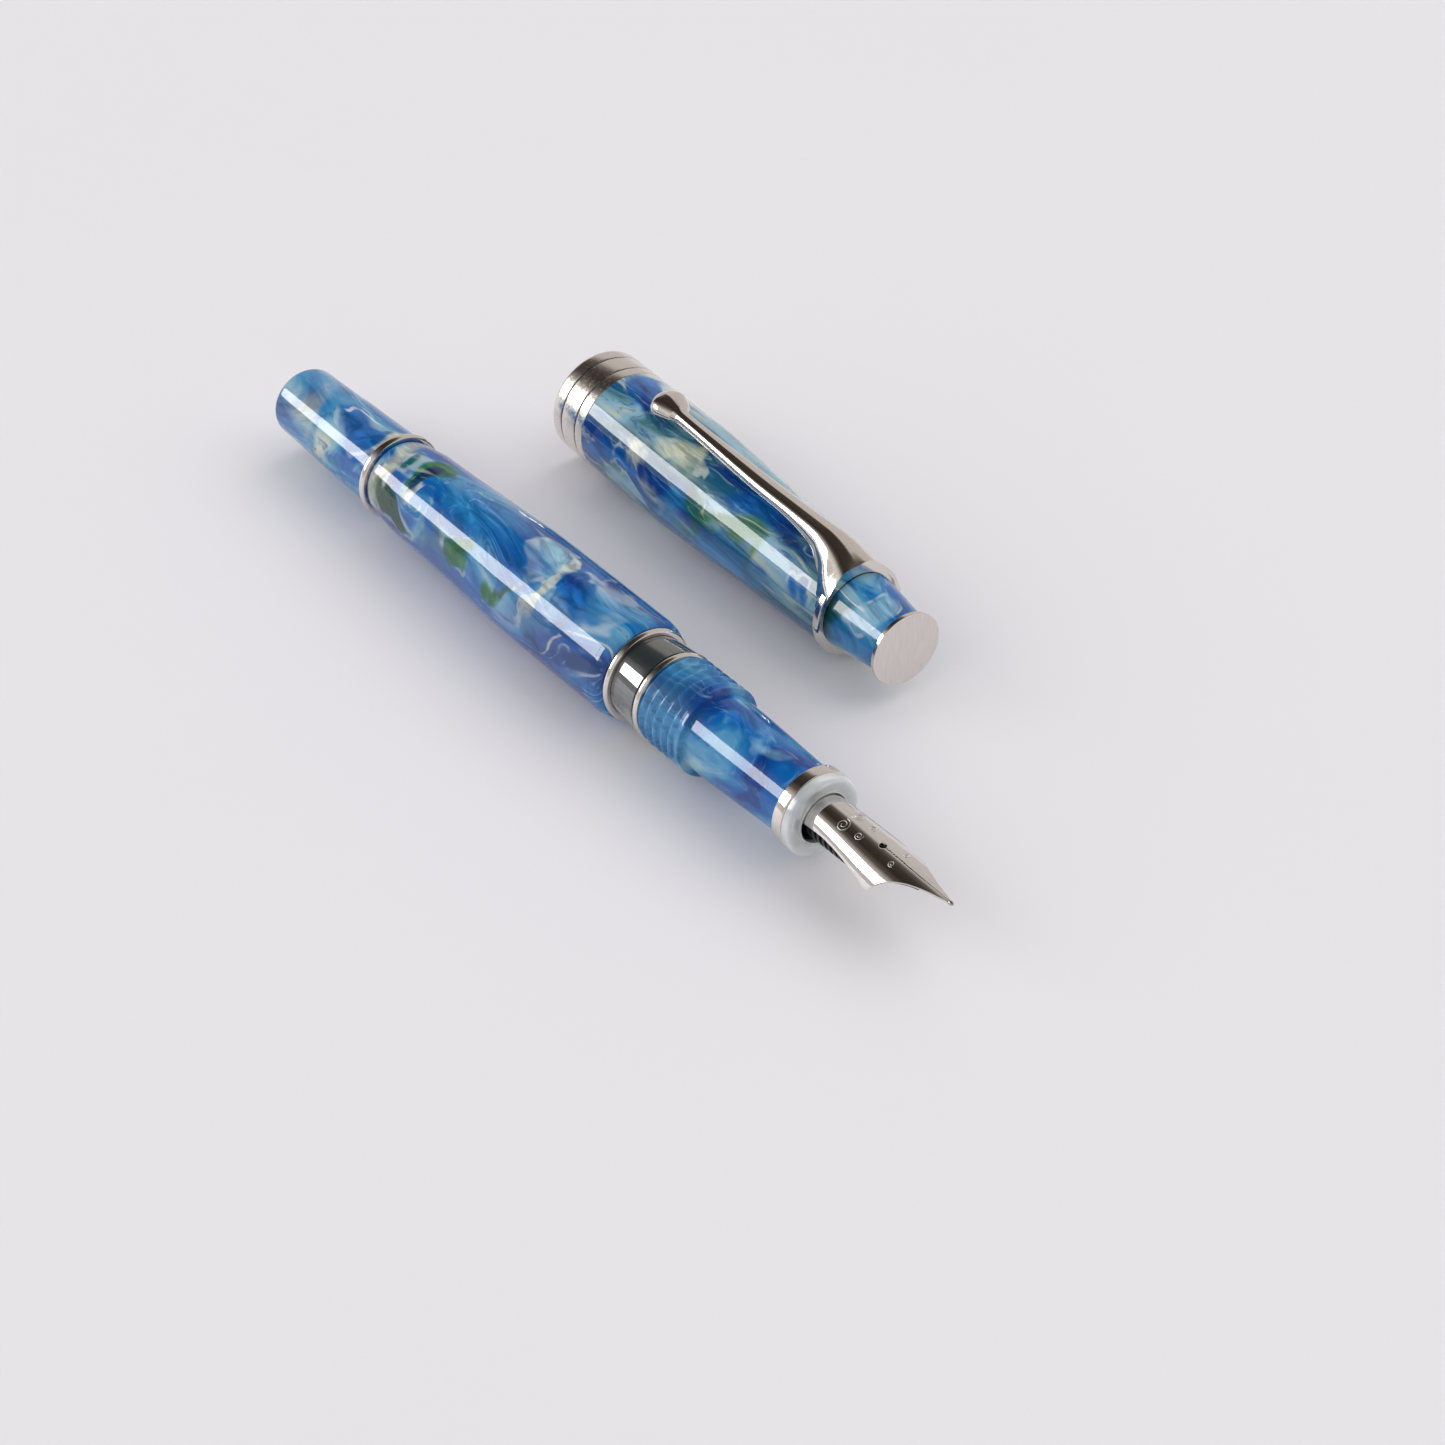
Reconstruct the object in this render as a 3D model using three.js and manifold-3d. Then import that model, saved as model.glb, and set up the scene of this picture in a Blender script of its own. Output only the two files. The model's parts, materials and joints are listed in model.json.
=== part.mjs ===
// A piston-filling fountain pen, uncapped, lying on a flat surface with its cap beside it.
// Millimetres, +Z up. The pen's axis runs along +X from the turning knob to the nib.
// Stations on the pen are x values with 0 at the barrel's front face. Stations on the cap are
// s values on its own axis, 0 at the outer face of the finial disc and negative towards the mouth.
import * as THREE from "three";
import { mergeVertices } from "three/addons/utils/BufferGeometryUtils.js";
import Module from "manifold-3d";

const wasm = await Module();
wasm.setup();

// ---------------------------------------------------------------- driving dimensions
const FIT = 0.05; // clearance between pieces that are fitted together
const SIDES = 36; // facets round a visible turned piece
const INNER_SIDES = 20; // facets round a hidden turned piece

const BARREL = { back: -53, front: 0, bore: 5, backR: 5.9, bellyR: 6.85, frontR: 6.8, backRound: 0.35 };
const NOSE = { length: 1.9, drop: 0.7 }; // the barrel's rounded front edge
const BARREL_TAPER = [[-44, 6.08], [-35, 6.42]]; // behind the belly
const BELLY = { from: -24, to: -8 }; // straight stretch of the barrel, which rests on the surface
const KNOB = { end: -77.1, front: -54.15, endR: 4.8, frontR: 5.5, bore: 4, endRound: 0.7, frontRound: 0.2 };
const KNOB_TAPER = [[-72, 5.02], [-65.4, 5.25]];
const END_RING = { back: -54.1, front: -53.05, r: 5.95 };
const WINDOW = { back: -8, flange: 0.95, front: 5.5, spigotR: 5.5, r: 6, frontR: 5.85, bore: 4.6 };
const REAR_RING = { back: 0.05, front: 0.9, r: 6.24 };
const FRONT_RING = { back: 5.55, front: 6.4, r: 5.95 };
const SECTION = { back: 6.45, threadEnd: 14.7, grip: 15.2, front: 31, threadR: 5.88, gripR: 5.25, noseR: 4.6 };
const THREAD = { crests: 5, pitch: 1.46, depth: 0.5, start: 0.35, flank: 0.45 };
const GRIP_TAPER = [[18.5, 5.08], [23, 4.9], [27.5, 4.72]];
const LIP_RING = { back: 31.05, front: 32.55, r: 5.3 };
const LIP = { back: 32.6, front: 34.1, r: 5.2, hole: 3.2, round: 1.2, chamfer: 0.2, relief: 0.45 };
const COLLAR = { back: 12.6, front: 32.6, r: 3.8, bore: 3.15 };
const NIB = { back: 20, mouth: 34, shoulder: 45.7, tip: 54.8, r: 3.1, thick: 0.35, tipZ: 2.45 };
const SHOULDER = { r: 4.25, spread: 66, half: 3.9 }; // the nib at its widest
const TINE = [[47.9, 2.7], [51.8, 0.95], [54.8, 0.25]]; // [x, half width] from shoulder to tip
const BREATHER = { x: 43.9, r: 0.45 };
const SLIT = 0.1;
const TIPPING = { r: 0.33, gap: 0.03, drop: 0.2 };
const FEED = { back: 14, mouth: 34.6, tip: 50.5, r: 2.5 };
const FINS = { slots: 8, pitch: 0.95, gap: 0.45, top: -1.1 };

const SLEEVE = { back: -60, front: -40, r: 4.95, spigotR: 3.9, bore: 2.8 };
const SEAL_GROOVE = { back: -44.4, front: -43.2, r: 4.3 };
const LEAD_SCREW = { back: -74, front: -36.5, r: 1.5, headR: 3.9, headLength: 2, point: 0.4 };
const ROD = { back: -62, front: -32, r: 2.6, flat: 2.2, bore: 1.65, boreEnd: -35.5, stemR: 2, stem: -36.9 };
const PISTON = { back: -36.8, front: -30, r: 4.92, waistR: 4.3, lip: 1.4, dish: 0.8 };

const CAP = { discX: 16.08, discY: 27.25, yaw: -3.16, clipRoll: 6 };
const DISC = { back: -0.52, r: 4.95 };
const FINIAL = { front: -0.57, back: -9.6, frontR: 4.3, backR: 5.3 };
const FINIAL_TAPER = [[-6, 4.85], [-3, 4.45]];
const CLIP_RING = { front: -9.65, back: -10.6, r: 6.3, hole: 2.3 };
const HOOD = { topHalf: 3.1, topZ: 6.8, footHalf: 5.28, footZ: 3.43 }; // rises tangent to the ring
const STUD = { front: -3.2, back: -12.2, r: 2 };
const TUBE = { front: -10.65, step: -61.05, mouth: -67.95 };
const TUBE_R = { front: 6, belly: 7.43, mouthTaper: 7.41, step: 7.36, spigot: 6.95 };
const TUBE_BELLY = { from: -56, to: -46 }; // straight stretch of the cap, which rests on the surface
const TUBE_TAPER = [[-20, 6.32], [-30, 6.72], [-38, 7.12]];
const MOUTH_TAPER = -58.5; // half-way along the slight taper between belly and bands
const CAP_BORE = { end: -12.3, linerEnd: -33.2, mouthStart: -61.5, linerR: 5.2, bodyR: 5.95, mouthR: 6.45 };
const LINER = { front: -12.4, back: -33, r: 5.15, bore: 4.6 };
const BANDS = { back: -68.35, r: 7.43, grooves: [-62.75, -66], groove: 0.25 };
const CLIP = { root: -10.9, ballR: 2.45, end: -52, width: 14 };
const CLIP_TOP = [[-10.9, 7.8], [-12.3, 8.8], [-14.5, 9.35], [-19, 9.45], [-30, 9.3], [-44, 9.6]];
const CLIP_BALL = [[-46.6, 10.2], [-49.55, 10.75], [-51.6, 10], [-52, 9]];
const CLIP_UNDER = [[-52, 8.6], [-49.5, 8.1], [-45, 8.3], [-22, 7.9], [-14.5, 7], [-10.9, 6.4]];
const CLIP_HALF = [[-10.9, 3.8], [-12.3, 3], [-14.2, 2.35], [-17, 1.8], [-30, 1.35], [-45, 0.95]];

// ---------------------------------------------------------------- materials
function material(color, roughness, metalness) {
  return () => new THREE.MeshStandardMaterial({ color, roughness, metalness });
}
const resin = material(0x4d86c0, 0.08, 0);
const nickel = material(0xc9c2b8, 0.12, 1);
const brushedNickel = material(0xc4bdb5, 0.4, 1);
const steel = material(0xc6c2bc, 0.14, 1);
const iridium = material(0x8b8782, 0.3, 1);
const smokyClear = material(0x4a5257, 0.05, 0);
const milkyClear = material(0xe6eaec, 0.2, 0);
const blackPlastic = material(0x151515, 0.45, 0);
const sealRubber = material(0x2a2a2c, 0.7, 0);
const whitePlastic = material(0xdedede, 0.4, 0);
const brass = material(0xb5954f, 0.3, 1);

// ---------------------------------------------------------------- geometry helpers
const vec = ([a, b]) => new THREE.Vector2(a, b);

// A smooth run of [x, r] points through the given ones.
function smooth(points, steps) {
  return new THREE.SplineCurve(points.map(vec)).getPoints(steps).map((p) => [p.x, p.y]);
}

// A quarter-round or half-round run of [x, r] points on a circle.
function arc(x, r, radius, fromDeg, toDeg, steps) {
  const points = [];
  for (let i = 0; i <= steps; i++) {
    const a = THREE.MathUtils.degToRad(fromDeg + ((toDeg - fromDeg) * i) / steps);
    points.push([x + radius * Math.cos(a), r + radius * Math.sin(a)]);
  }
  return points;
}

// Turns a closed [x, r] outline about the X axis. A flat facet, not an edge, faces straight down.
// An outline that touches the axis is opened there, so that it starts and ends on the axis.
function turned(outline, sides = SIDES) {
  const ring = outline.map(([x, r]) => new THREE.Vector2(r, x));
  if (THREE.ShapeUtils.area(ring) < 0) ring.reverse();
  const onAxis = ring.findIndex((p, i) => p.x === 0 && ring[(i + 1) % ring.length].x === 0);
  const start = (onAxis + 1) % ring.length;
  const opened = [...ring.slice(start), ...ring.slice(0, start)];
  const profile = onAxis < 0 ? [...ring, ring[0]] : opened;
  return new THREE.LatheGeometry(profile, sides, Math.PI / sides).rotateZ(-Math.PI / 2);
}

// A plain tube from x0 to x1.
function tube(x0, x1, outer, bore, sides = SIDES) {
  const outline = [
    [x0, bore],
    [x0, outer],
    [x1, outer],
    [x1, bore],
  ];
  return turned(outline, sides);
}

// A plain rod from x0 to x1. Its outline starts and ends on the axis.
function rod(x0, x1, r, sides = INNER_SIDES) {
  const outline = [
    [x0, 0],
    [x0, r],
    [x1, r],
    [x1, 0],
  ];
  return turned(outline, sides);
}

function block(x0, x1, y0, y1, z0, z1) {
  const box = new THREE.BoxGeometry(x1 - x0, y1 - y0, z1 - z0);
  return box.translate((x0 + x1) / 2, (y0 + y1) / 2, (z0 + z1) / 2);
}

// An outline of [y, z] points extruded along X.
function extrudeX(outline, x0, x1) {
  const geometry = new THREE.ExtrudeGeometry(new THREE.Shape(outline.map(vec)), {
    depth: x1 - x0,
    bevelEnabled: false,
  });
  const turn = new THREE.Matrix4().makeBasis(
    new THREE.Vector3(0, 1, 0),
    new THREE.Vector3(0, 0, 1),
    new THREE.Vector3(1, 0, 0),
  );
  return geometry.applyMatrix4(turn).translate(x0, 0, 0);
}

// An outline of [x, z] points extruded along Y, centred on the XZ plane.
function extrudeY(outline, width) {
  const geometry = new THREE.ExtrudeGeometry(new THREE.Shape(outline.map(vec)), {
    depth: width,
    bevelEnabled: false,
  });
  return geometry.rotateX(Math.PI / 2).translate(0, width / 2, 0);
}

// An outline of [x, y] points extruded along Z.
function extrudeZ(outline, z0, z1) {
  const geometry = new THREE.ExtrudeGeometry(new THREE.Shape(outline.map(vec)), {
    depth: z1 - z0,
    bevelEnabled: false,
  });
  return geometry.translate(0, 0, z0);
}

function toSolid(geometry) {
  const bare = geometry.clone();
  bare.deleteAttribute("normal");
  bare.deleteAttribute("uv");
  const merged = mergeVertices(bare, 1e-4);
  const mesh = new wasm.Mesh({
    numProp: 3,
    vertProperties: merged.attributes.position.array,
    triVerts: new Uint32Array(merged.index.array),
  });
  return new wasm.Manifold(mesh);
}

function toGeometry(solid) {
  const mesh = solid.getMesh();
  const geometry = new THREE.BufferGeometry();
  geometry.setAttribute("position", new THREE.BufferAttribute(mesh.vertProperties, 3));
  geometry.setIndex(new THREE.BufferAttribute(mesh.triVerts, 1));
  geometry.computeVertexNormals();
  return geometry;
}

const join = (first, ...more) => more.reduce((sum, g) => sum.add(toSolid(g)), toSolid(first));
const cut = (solid, ...tools) => tools.reduce((left, g) => left.subtract(toSolid(g)), solid);
const common = (first, ...more) => more.reduce((part, g) => part.intersect(toSolid(g)), toSolid(first));

// ---------------------------------------------------------------- pen: barrel and filling mechanism
function barrel() {
  const b = BARREL;
  const spigot = WINDOW.spigotR + FIT;
  const taper = [[b.back + b.backRound, b.backR], ...BARREL_TAPER, [BELLY.from, b.bellyR]];
  const nose = arc(0, 0, 1, 90, 0, 4).map(([x, r]) => [
    b.front - NOSE.length * (1 - x),
    b.frontR - NOSE.drop * (1 - r),
  ]);
  return turned([
    [b.back, b.bore],
    [b.back, b.backR - b.backRound],
    ...smooth(taper, 5),
    [BELLY.to, b.bellyR],
    ...nose,
    [b.front, spigot],
    [WINDOW.back - FIT, spigot],
    [WINDOW.back - FIT, b.bore],
  ]);
}

function knob() {
  const k = KNOB;
  const boreEnd = LEAD_SCREW.back - FIT;
  return turned([
    [k.end, 0],
    ...arc(k.end + k.endRound, k.endR - k.endRound, k.endRound, 180, 90, 3),
    ...smooth([...KNOB_TAPER, [k.front - k.frontRound, k.frontR]], 4),
    [k.front, k.frontR - k.frontRound],
    [k.front, k.bore],
    [boreEnd, k.bore],
    [boreEnd, 0],
  ]);
}

// The lead screw: its head is fixed in the knob and its thread drives the piston rod.
function leadScrew() {
  const s = LEAD_SCREW;
  const headEnd = s.back + s.headLength;
  return turned(
    [
      [s.back, 0],
      [s.back, s.headR],
      [headEnd, s.headR],
      [headEnd, s.r],
      [s.front - s.point, s.r],
      [s.front, s.r - s.point],
      [s.front, 0],
    ],
    INNER_SIDES,
  );
}

// Screws into the barrel's back end, carries the knob on its spigot and guides the rod's flats.
function guideSleeve() {
  const s = SLEEVE;
  const neck = BARREL.back - FIT;
  return turned(
    [
      [s.back, s.bore],
      [s.back, s.spigotR],
      [neck, s.spigotR],
      [neck + FIT, s.r],
      [SEAL_GROOVE.back, s.r],
      [SEAL_GROOVE.back, SEAL_GROOVE.r],
      [SEAL_GROOVE.front, SEAL_GROOVE.r],
      [SEAL_GROOVE.front, s.r],
      [s.front, s.r],
      [s.front, s.bore],
    ],
    INNER_SIDES,
  );
}

function sleeveSeal() {
  const middle = (SEAL_GROOVE.back + SEAL_GROOVE.front) / 2;
  const cord = (SLEEVE.r - SEAL_GROOVE.r) / 2 - FIT;
  return turned(arc(middle, SEAL_GROOVE.r + FIT + cord, cord, 0, 300, 5), INNER_SIDES);
}

// A hollow rod with two flats; the lead screw turns inside it.
function pistonRod() {
  const r = ROD;
  const turnedRod = turned(
    [
      [r.back, r.bore],
      [r.back, r.r],
      [r.stem, r.r],
      [r.stem, r.stemR],
      [r.front, r.stemR],
      [r.front, 0],
      [r.boreEnd, 0],
      [r.boreEnd, r.bore],
    ],
    INNER_SIDES,
  );
  const wide = 2 * r.r;
  const flatEnd = r.stem - 2;
  const side = (low, high) => block(r.back - 1, flatEnd, low, high, -wide, wide);
  return toGeometry(cut(toSolid(turnedRod), side(r.flat, wide), side(-wide, -r.flat)));
}

// The piston head: a soft plug with a sealing lip at each end.
function pistonHead() {
  const p = PISTON;
  const bore = ROD.stemR + FIT;
  const boreEnd = ROD.front + FIT;
  return turned(
    [
      [p.back, bore],
      [p.back, p.r],
      [p.back + p.lip / 2, p.r],
      [p.back + p.lip, p.waistR],
      [p.front - p.lip, p.waistR],
      [p.front - p.lip / 2, p.r],
      [p.front, p.r],
      [p.front, p.r - p.dish],
      [p.front - p.dish, 0],
      [boreEnd, 0],
      [boreEnd, bore],
    ],
    INNER_SIDES,
  );
}

// A trim ring with a half-round outer face.
function beadRing(ring, bore, steps) {
  const half = (ring.front - ring.back) / 2;
  const bulge = half * 0.7;
  const middle = (ring.front + ring.back) / 2;
  const crown = arc(0, 0, 1, 180, 0, steps).map(([x, r]) => [middle + x * half, ring.r - bulge + r * bulge]);
  return turned([[ring.back, bore], ...crown, [ring.front, bore]]);
}

// ---------------------------------------------------------------- pen: ink window, section and nib
function inkWindow() {
  const w = WINDOW;
  return turned([
    [w.back, w.bore],
    [w.back, w.spigotR],
    [w.flange - FIT / 2, w.spigotR],
    [w.flange, w.r],
    [w.front, w.frontR],
    [w.front, w.bore],
  ]);
}

function section() {
  const s = SECTION;
  const t = THREAD;
  const bore = COLLAR.r + FIT;
  const root = s.threadR - t.depth;
  const outline = [[s.back, bore], [s.back, root]];
  for (let i = 0; i < t.crests; i++) {
    const x = s.back + t.start + i * t.pitch;
    outline.push([x + t.flank, s.threadR], [x + 2 * t.flank, s.threadR], [x + 3 * t.flank, root]);
  }
  outline.push([s.threadEnd, root], [s.grip, s.gripR]);
  outline.push(...smooth([...GRIP_TAPER, [s.front, s.noseR]], 4), [s.front, bore]);
  return turned(outline);
}

// The collar that holds the nib and the feed in the section.
function nibCollar() {
  return tube(COLLAR.back, COLLAR.front - FIT, COLLAR.r, COLLAR.bore, INNER_SIDES);
}

// The translucent nose that the nib comes out of.
function sectionLip() {
  const l = LIP;
  return turned([
    [l.back, l.hole + l.relief],
    [l.back, l.r],
    ...arc(l.front - l.round, l.r - l.round, l.round, 90, 0, 4),
    [l.front, l.hole + l.chamfer],
    [l.front - l.chamfer, l.hole],
    [l.back + l.relief, l.hole],
  ]);
}

// The nib's curved plate. It opens out from the body to the shoulders while its crest falls to the
// tip's height; spread is the angle in degrees from straight up to each edge.
function nibPlate() {
  const n = NIB;
  const steps = 12;
  const bodySpread = 77;
  const tip = { x: n.tip + 1, r: SHOULDER.r + 0.6, spread: 40 };
  const rings = [
    { x: n.back, r: n.r, spread: bodySpread },
    { x: n.mouth, r: n.r, spread: bodySpread },
    { x: n.shoulder, r: SHOULDER.r, spread: SHOULDER.spread },
    tip,
  ];
  const crestFall = (x) => (Math.max(0, x - n.mouth) * (n.r - n.tipZ)) / (n.tip - n.mouth);
  const positions = [];
  for (const { x, r, spread } of rings) {
    const centre = n.r - crestFall(x) - r;
    for (const radius of [r, r - n.thick]) {
      for (let i = 0; i <= steps; i++) {
        const a = THREE.MathUtils.degToRad(90 + spread - (2 * spread * i) / steps);
        positions.push(x, radius * Math.cos(a), centre + radius * Math.sin(a));
      }
    }
  }
  const geometry = new THREE.BufferGeometry();
  geometry.setAttribute("position", new THREE.Float32BufferAttribute(positions, 3));
  geometry.setIndex(plateFaces(rings.length, steps));
  return geometry;
}

// Triangles of a closed plate through rings of points, each an outer row and then an inner row.
function plateFaces(ringCount, steps) {
  const row = steps + 1;
  const index = [];
  const loop = [];
  for (let i = 0; i < row; i++) loop.push(i);
  for (let i = row - 1; i >= 0; i--) loop.push(row + i);
  for (let k = 0; k + 1 < ringCount; k++) {
    loop.forEach((here, i) => {
      const next = loop[(i + 1) % loop.length];
      const a = k * 2 * row;
      const b = a + 2 * row;
      index.push(a + here, b + here, a + next, a + next, b + here, b + next);
    });
  }
  const last = (ringCount - 1) * 2 * row;
  for (let outer = 0; outer < steps; outer++) {
    const inner = row + outer;
    const [lastOuter, lastInner] = [last + outer, last + inner];
    index.push(outer, outer + 1, inner, inner, outer + 1, inner + 1);
    index.push(lastOuter, lastInner, lastOuter + 1, lastInner, lastInner + 1, lastOuter + 1);
  }
  return index;
}

// The plate trimmed to the nib's plan: straight body, shoulders, and tines curving in to the tip.
function nib() {
  const n = NIB;
  const half = SHOULDER.half;
  const tine = smooth([[n.shoulder, half], ...TINE], 8);
  const body = [[n.back - 1, half], [n.shoulder - 1, half]];
  const outline = [...body, ...tine];
  const mirrored = outline.map(([x, y]) => [x, -y]).reverse();
  const plan = extrudeZ([...outline, ...mirrored], -2, 5);
  const hole = rod(-1, 1, BREATHER.r, 12).rotateY(Math.PI / 2).translate(BREATHER.x, 0, n.r);
  const slit = block(BREATHER.x, n.tip + 1, -SLIT / 2, SLIT / 2, 1, 5);
  return toGeometry(cut(common(nibPlate(), plan), hole, slit));
}

function nibTipping() {
  const { r, gap, drop } = TIPPING;
  return new THREE.SphereGeometry(r, 8, 6).translate(NIB.tip + gap + r, 0, NIB.tipZ - drop);
}

// The feed under the nib, with its comb of fins across the lower half.
function feed() {
  const f = FEED;
  const wide = 2 * f.r;
  const slope = [
    [f.back, -f.r],
    [NIB.shoulder - 6, -f.r],
    [f.tip, 1.1],
    [f.tip, 1.5],
    [NIB.mouth, f.r],
    [f.back, f.r],
  ];
  const shaped = common(rod(f.back, f.tip, f.r), extrudeY(slope, 2 * wide));
  const slots = [];
  for (let i = 0; i < FINS.slots; i++) {
    const x = f.mouth + i * FINS.pitch;
    slots.push(block(x, x + FINS.gap, -wide, wide, -wide, FINS.top));
  }
  return toGeometry(cut(shaped, ...slots));
}

// ---------------------------------------------------------------- cap
function capTube() {
  const t = TUBE;
  const r = TUBE_R;
  const c = CAP_BORE;
  const stud = STUD.r + FIT;
  return turned([
    [t.front, stud],
    ...smooth([[t.front, r.front], ...TUBE_TAPER, [TUBE_BELLY.to, r.belly]], 6),
    ...smooth([[TUBE_BELLY.from, r.belly], [MOUTH_TAPER, r.mouthTaper], [t.step, r.step]], 2),
    [t.step, r.spigot],
    [t.mouth, r.spigot],
    [t.mouth, c.mouthR],
    [c.mouthStart, c.mouthR],
    [c.mouthStart, c.bodyR],
    [c.linerEnd, c.bodyR],
    [c.linerEnd, c.linerR],
    [c.end, c.linerR],
    [c.end, stud],
  ]);
}

// One of the three bands pressed on the cap's mouth, between the stations front and back.
function band(front, back, round) {
  const edge = 0.12;
  const crown = [
    ...arc(back + round, BANDS.r - round, round, 180, 90, 2),
    [front - edge, BANDS.r],
    [front, BANDS.r - edge],
  ];
  return turned([[back, TUBE_R.spigot + FIT], ...crown, [front, TUBE_R.spigot + FIT]]);
}

function finialDisc() {
  return rod(DISC.back, 0, DISC.r, SIDES);
}

function finial() {
  const f = FINIAL;
  const socket = STUD.r + FIT;
  const socketEnd = STUD.front + FIT;
  return turned([
    [f.back, socket],
    ...smooth([[f.back, f.backR], ...FINIAL_TAPER, [f.front, f.frontR]], 5),
    [f.front, 0],
    [socketEnd, 0],
    [socketEnd, socket],
  ]);
}

// The plate that the finial clamps against the cap, with its shield-shaped upper edge.
function clipRing() {
  const c = CLIP_RING;
  const h = HOOD;
  const upper = [[-h.footHalf, h.footZ], [-h.topHalf, h.topZ], [h.topHalf, h.topZ], [h.footHalf, h.footZ]];
  const plate = join(tube(c.back, c.front, c.r, c.hole), extrudeX(upper.reverse(), c.back, c.front));
  return toGeometry(cut(plate, rod(c.back - 1, c.front + 1, c.hole, SIDES)));
}

// The springy arm: a side profile cut to its plan, which narrows to a neck and ends in a round.
function clipArm() {
  const c = CLIP;
  const side = extrudeY([...smooth(CLIP_TOP, 12), ...smooth(CLIP_BALL, 6), ...smooth(CLIP_UNDER, 10)], c.width);
  const round = arc(CLIP_BALL[1][0], 0, c.ballR, 28, 180, 8);
  const half = [...smooth(CLIP_HALF, 12), ...round];
  const other = half.slice(0, -1).reverse().map(([x, y]) => [x, -y]);
  return toGeometry(common(side, extrudeZ([...half, ...other], 4, 13)));
}

// ---------------------------------------------------------------- assembly
function add(group, name, geometry, makeMaterial) {
  const mesh = new THREE.Mesh(geometry, makeMaterial());
  mesh.name = name;
  group.add(mesh);
}

function addFillingMechanism(pen) {
  add(pen, "barrel", barrel(), resin);
  add(pen, "knob", knob(), resin);
  add(pen, "lead_screw", leadScrew(), brass);
  add(pen, "guide_sleeve", guideSleeve(), whitePlastic);
  add(pen, "sleeve_seal", sleeveSeal(), sealRubber);
  add(pen, "piston_rod", pistonRod(), whitePlastic);
  add(pen, "piston_head", pistonHead(), sealRubber);
  add(pen, "barrel_end_ring", beadRing(END_RING, SLEEVE.spigotR + FIT, 5), nickel);
}

function addWritingEnd(pen) {
  add(pen, "window_rear_ring", beadRing(REAR_RING, WINDOW.spigotR + FIT, 4), nickel);
  add(pen, "ink_window", inkWindow(), smokyClear);
  add(pen, "window_front_ring", beadRing(FRONT_RING, COLLAR.r + FIT, 4), nickel);
  add(pen, "section", section(), resin);
  add(pen, "section_ring", tube(LIP_RING.back, LIP_RING.front, LIP_RING.r, COLLAR.r + FIT), nickel);
  add(pen, "section_lip", sectionLip(), milkyClear);
  add(pen, "nib_collar", nibCollar(), blackPlastic);
  add(pen, "feed", feed(), blackPlastic);
  add(pen, "nib", nib(), steel);
  add(pen, "nib_tipping", nibTipping(), iridium);
}

function addCap(cap) {
  const [first, second] = BANDS.grooves;
  add(cap, "cap_tube", capTube(), resin);
  add(cap, "inner_cap", tube(LINER.back, LINER.front, LINER.r, LINER.bore, INNER_SIDES), blackPlastic);
  add(cap, "cap_rear_band", band(TUBE.step - FIT, first, 0.12), nickel);
  add(cap, "cap_centre_band", band(first - BANDS.groove, second, 0.12), nickel);
  add(cap, "cap_mouth_band", band(second - BANDS.groove, BANDS.back, 0.5), nickel);
  add(cap, "finial", finial(), resin);
  add(cap, "finial_disc", finialDisc(), brushedNickel);
  add(cap, "finial_stud", rod(STUD.back, STUD.front, STUD.r), brass);
}

function addClip(clip) {
  add(clip, "clip_ring", clipRing(), nickel);
  add(clip, "clip_arm", clipArm(), nickel);
}

const pen = new THREE.Group();
addFillingMechanism(pen);
addWritingEnd(pen);

const clip = new THREE.Group();
addClip(clip);
clip.rotation.x = THREE.MathUtils.degToRad(CAP.clipRoll);

const cap = new THREE.Group();
addCap(cap);
cap.add(clip);
const flatFacet = Math.cos(Math.PI / SIDES);
cap.position.set(CAP.discX, CAP.discY, (TUBE_R.belly - BARREL.bellyR) * flatFacet);
cap.rotation.z = THREE.MathUtils.degToRad(CAP.yaw);

// The origin is the bottom centre of the box round the pen and its cap.
const fountainPen = new THREE.Group();
fountainPen.add(pen, cap);
fountainPen.updateMatrixWorld(true);
const bounds = new THREE.Box3().setFromObject(fountainPen, true);
const middle = bounds.getCenter(new THREE.Vector3());
for (const group of [pen, cap]) {
  group.position.sub(new THREE.Vector3(middle.x, middle.y, bounds.min.z));
}

export default fountainPen;
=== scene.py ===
"""A piston-filling fountain pen of swirled resin, uncapped, with its cap lying beside it.

Stations are millimetres along a piece's own axis. On the pen they are 0 at the barrel's front face and
positive towards the nib. On the cap they are 0 at the finial's disc and negative towards the mouth.
"""

import json
import math

import bpy
from mathutils import Matrix, Vector


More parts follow.
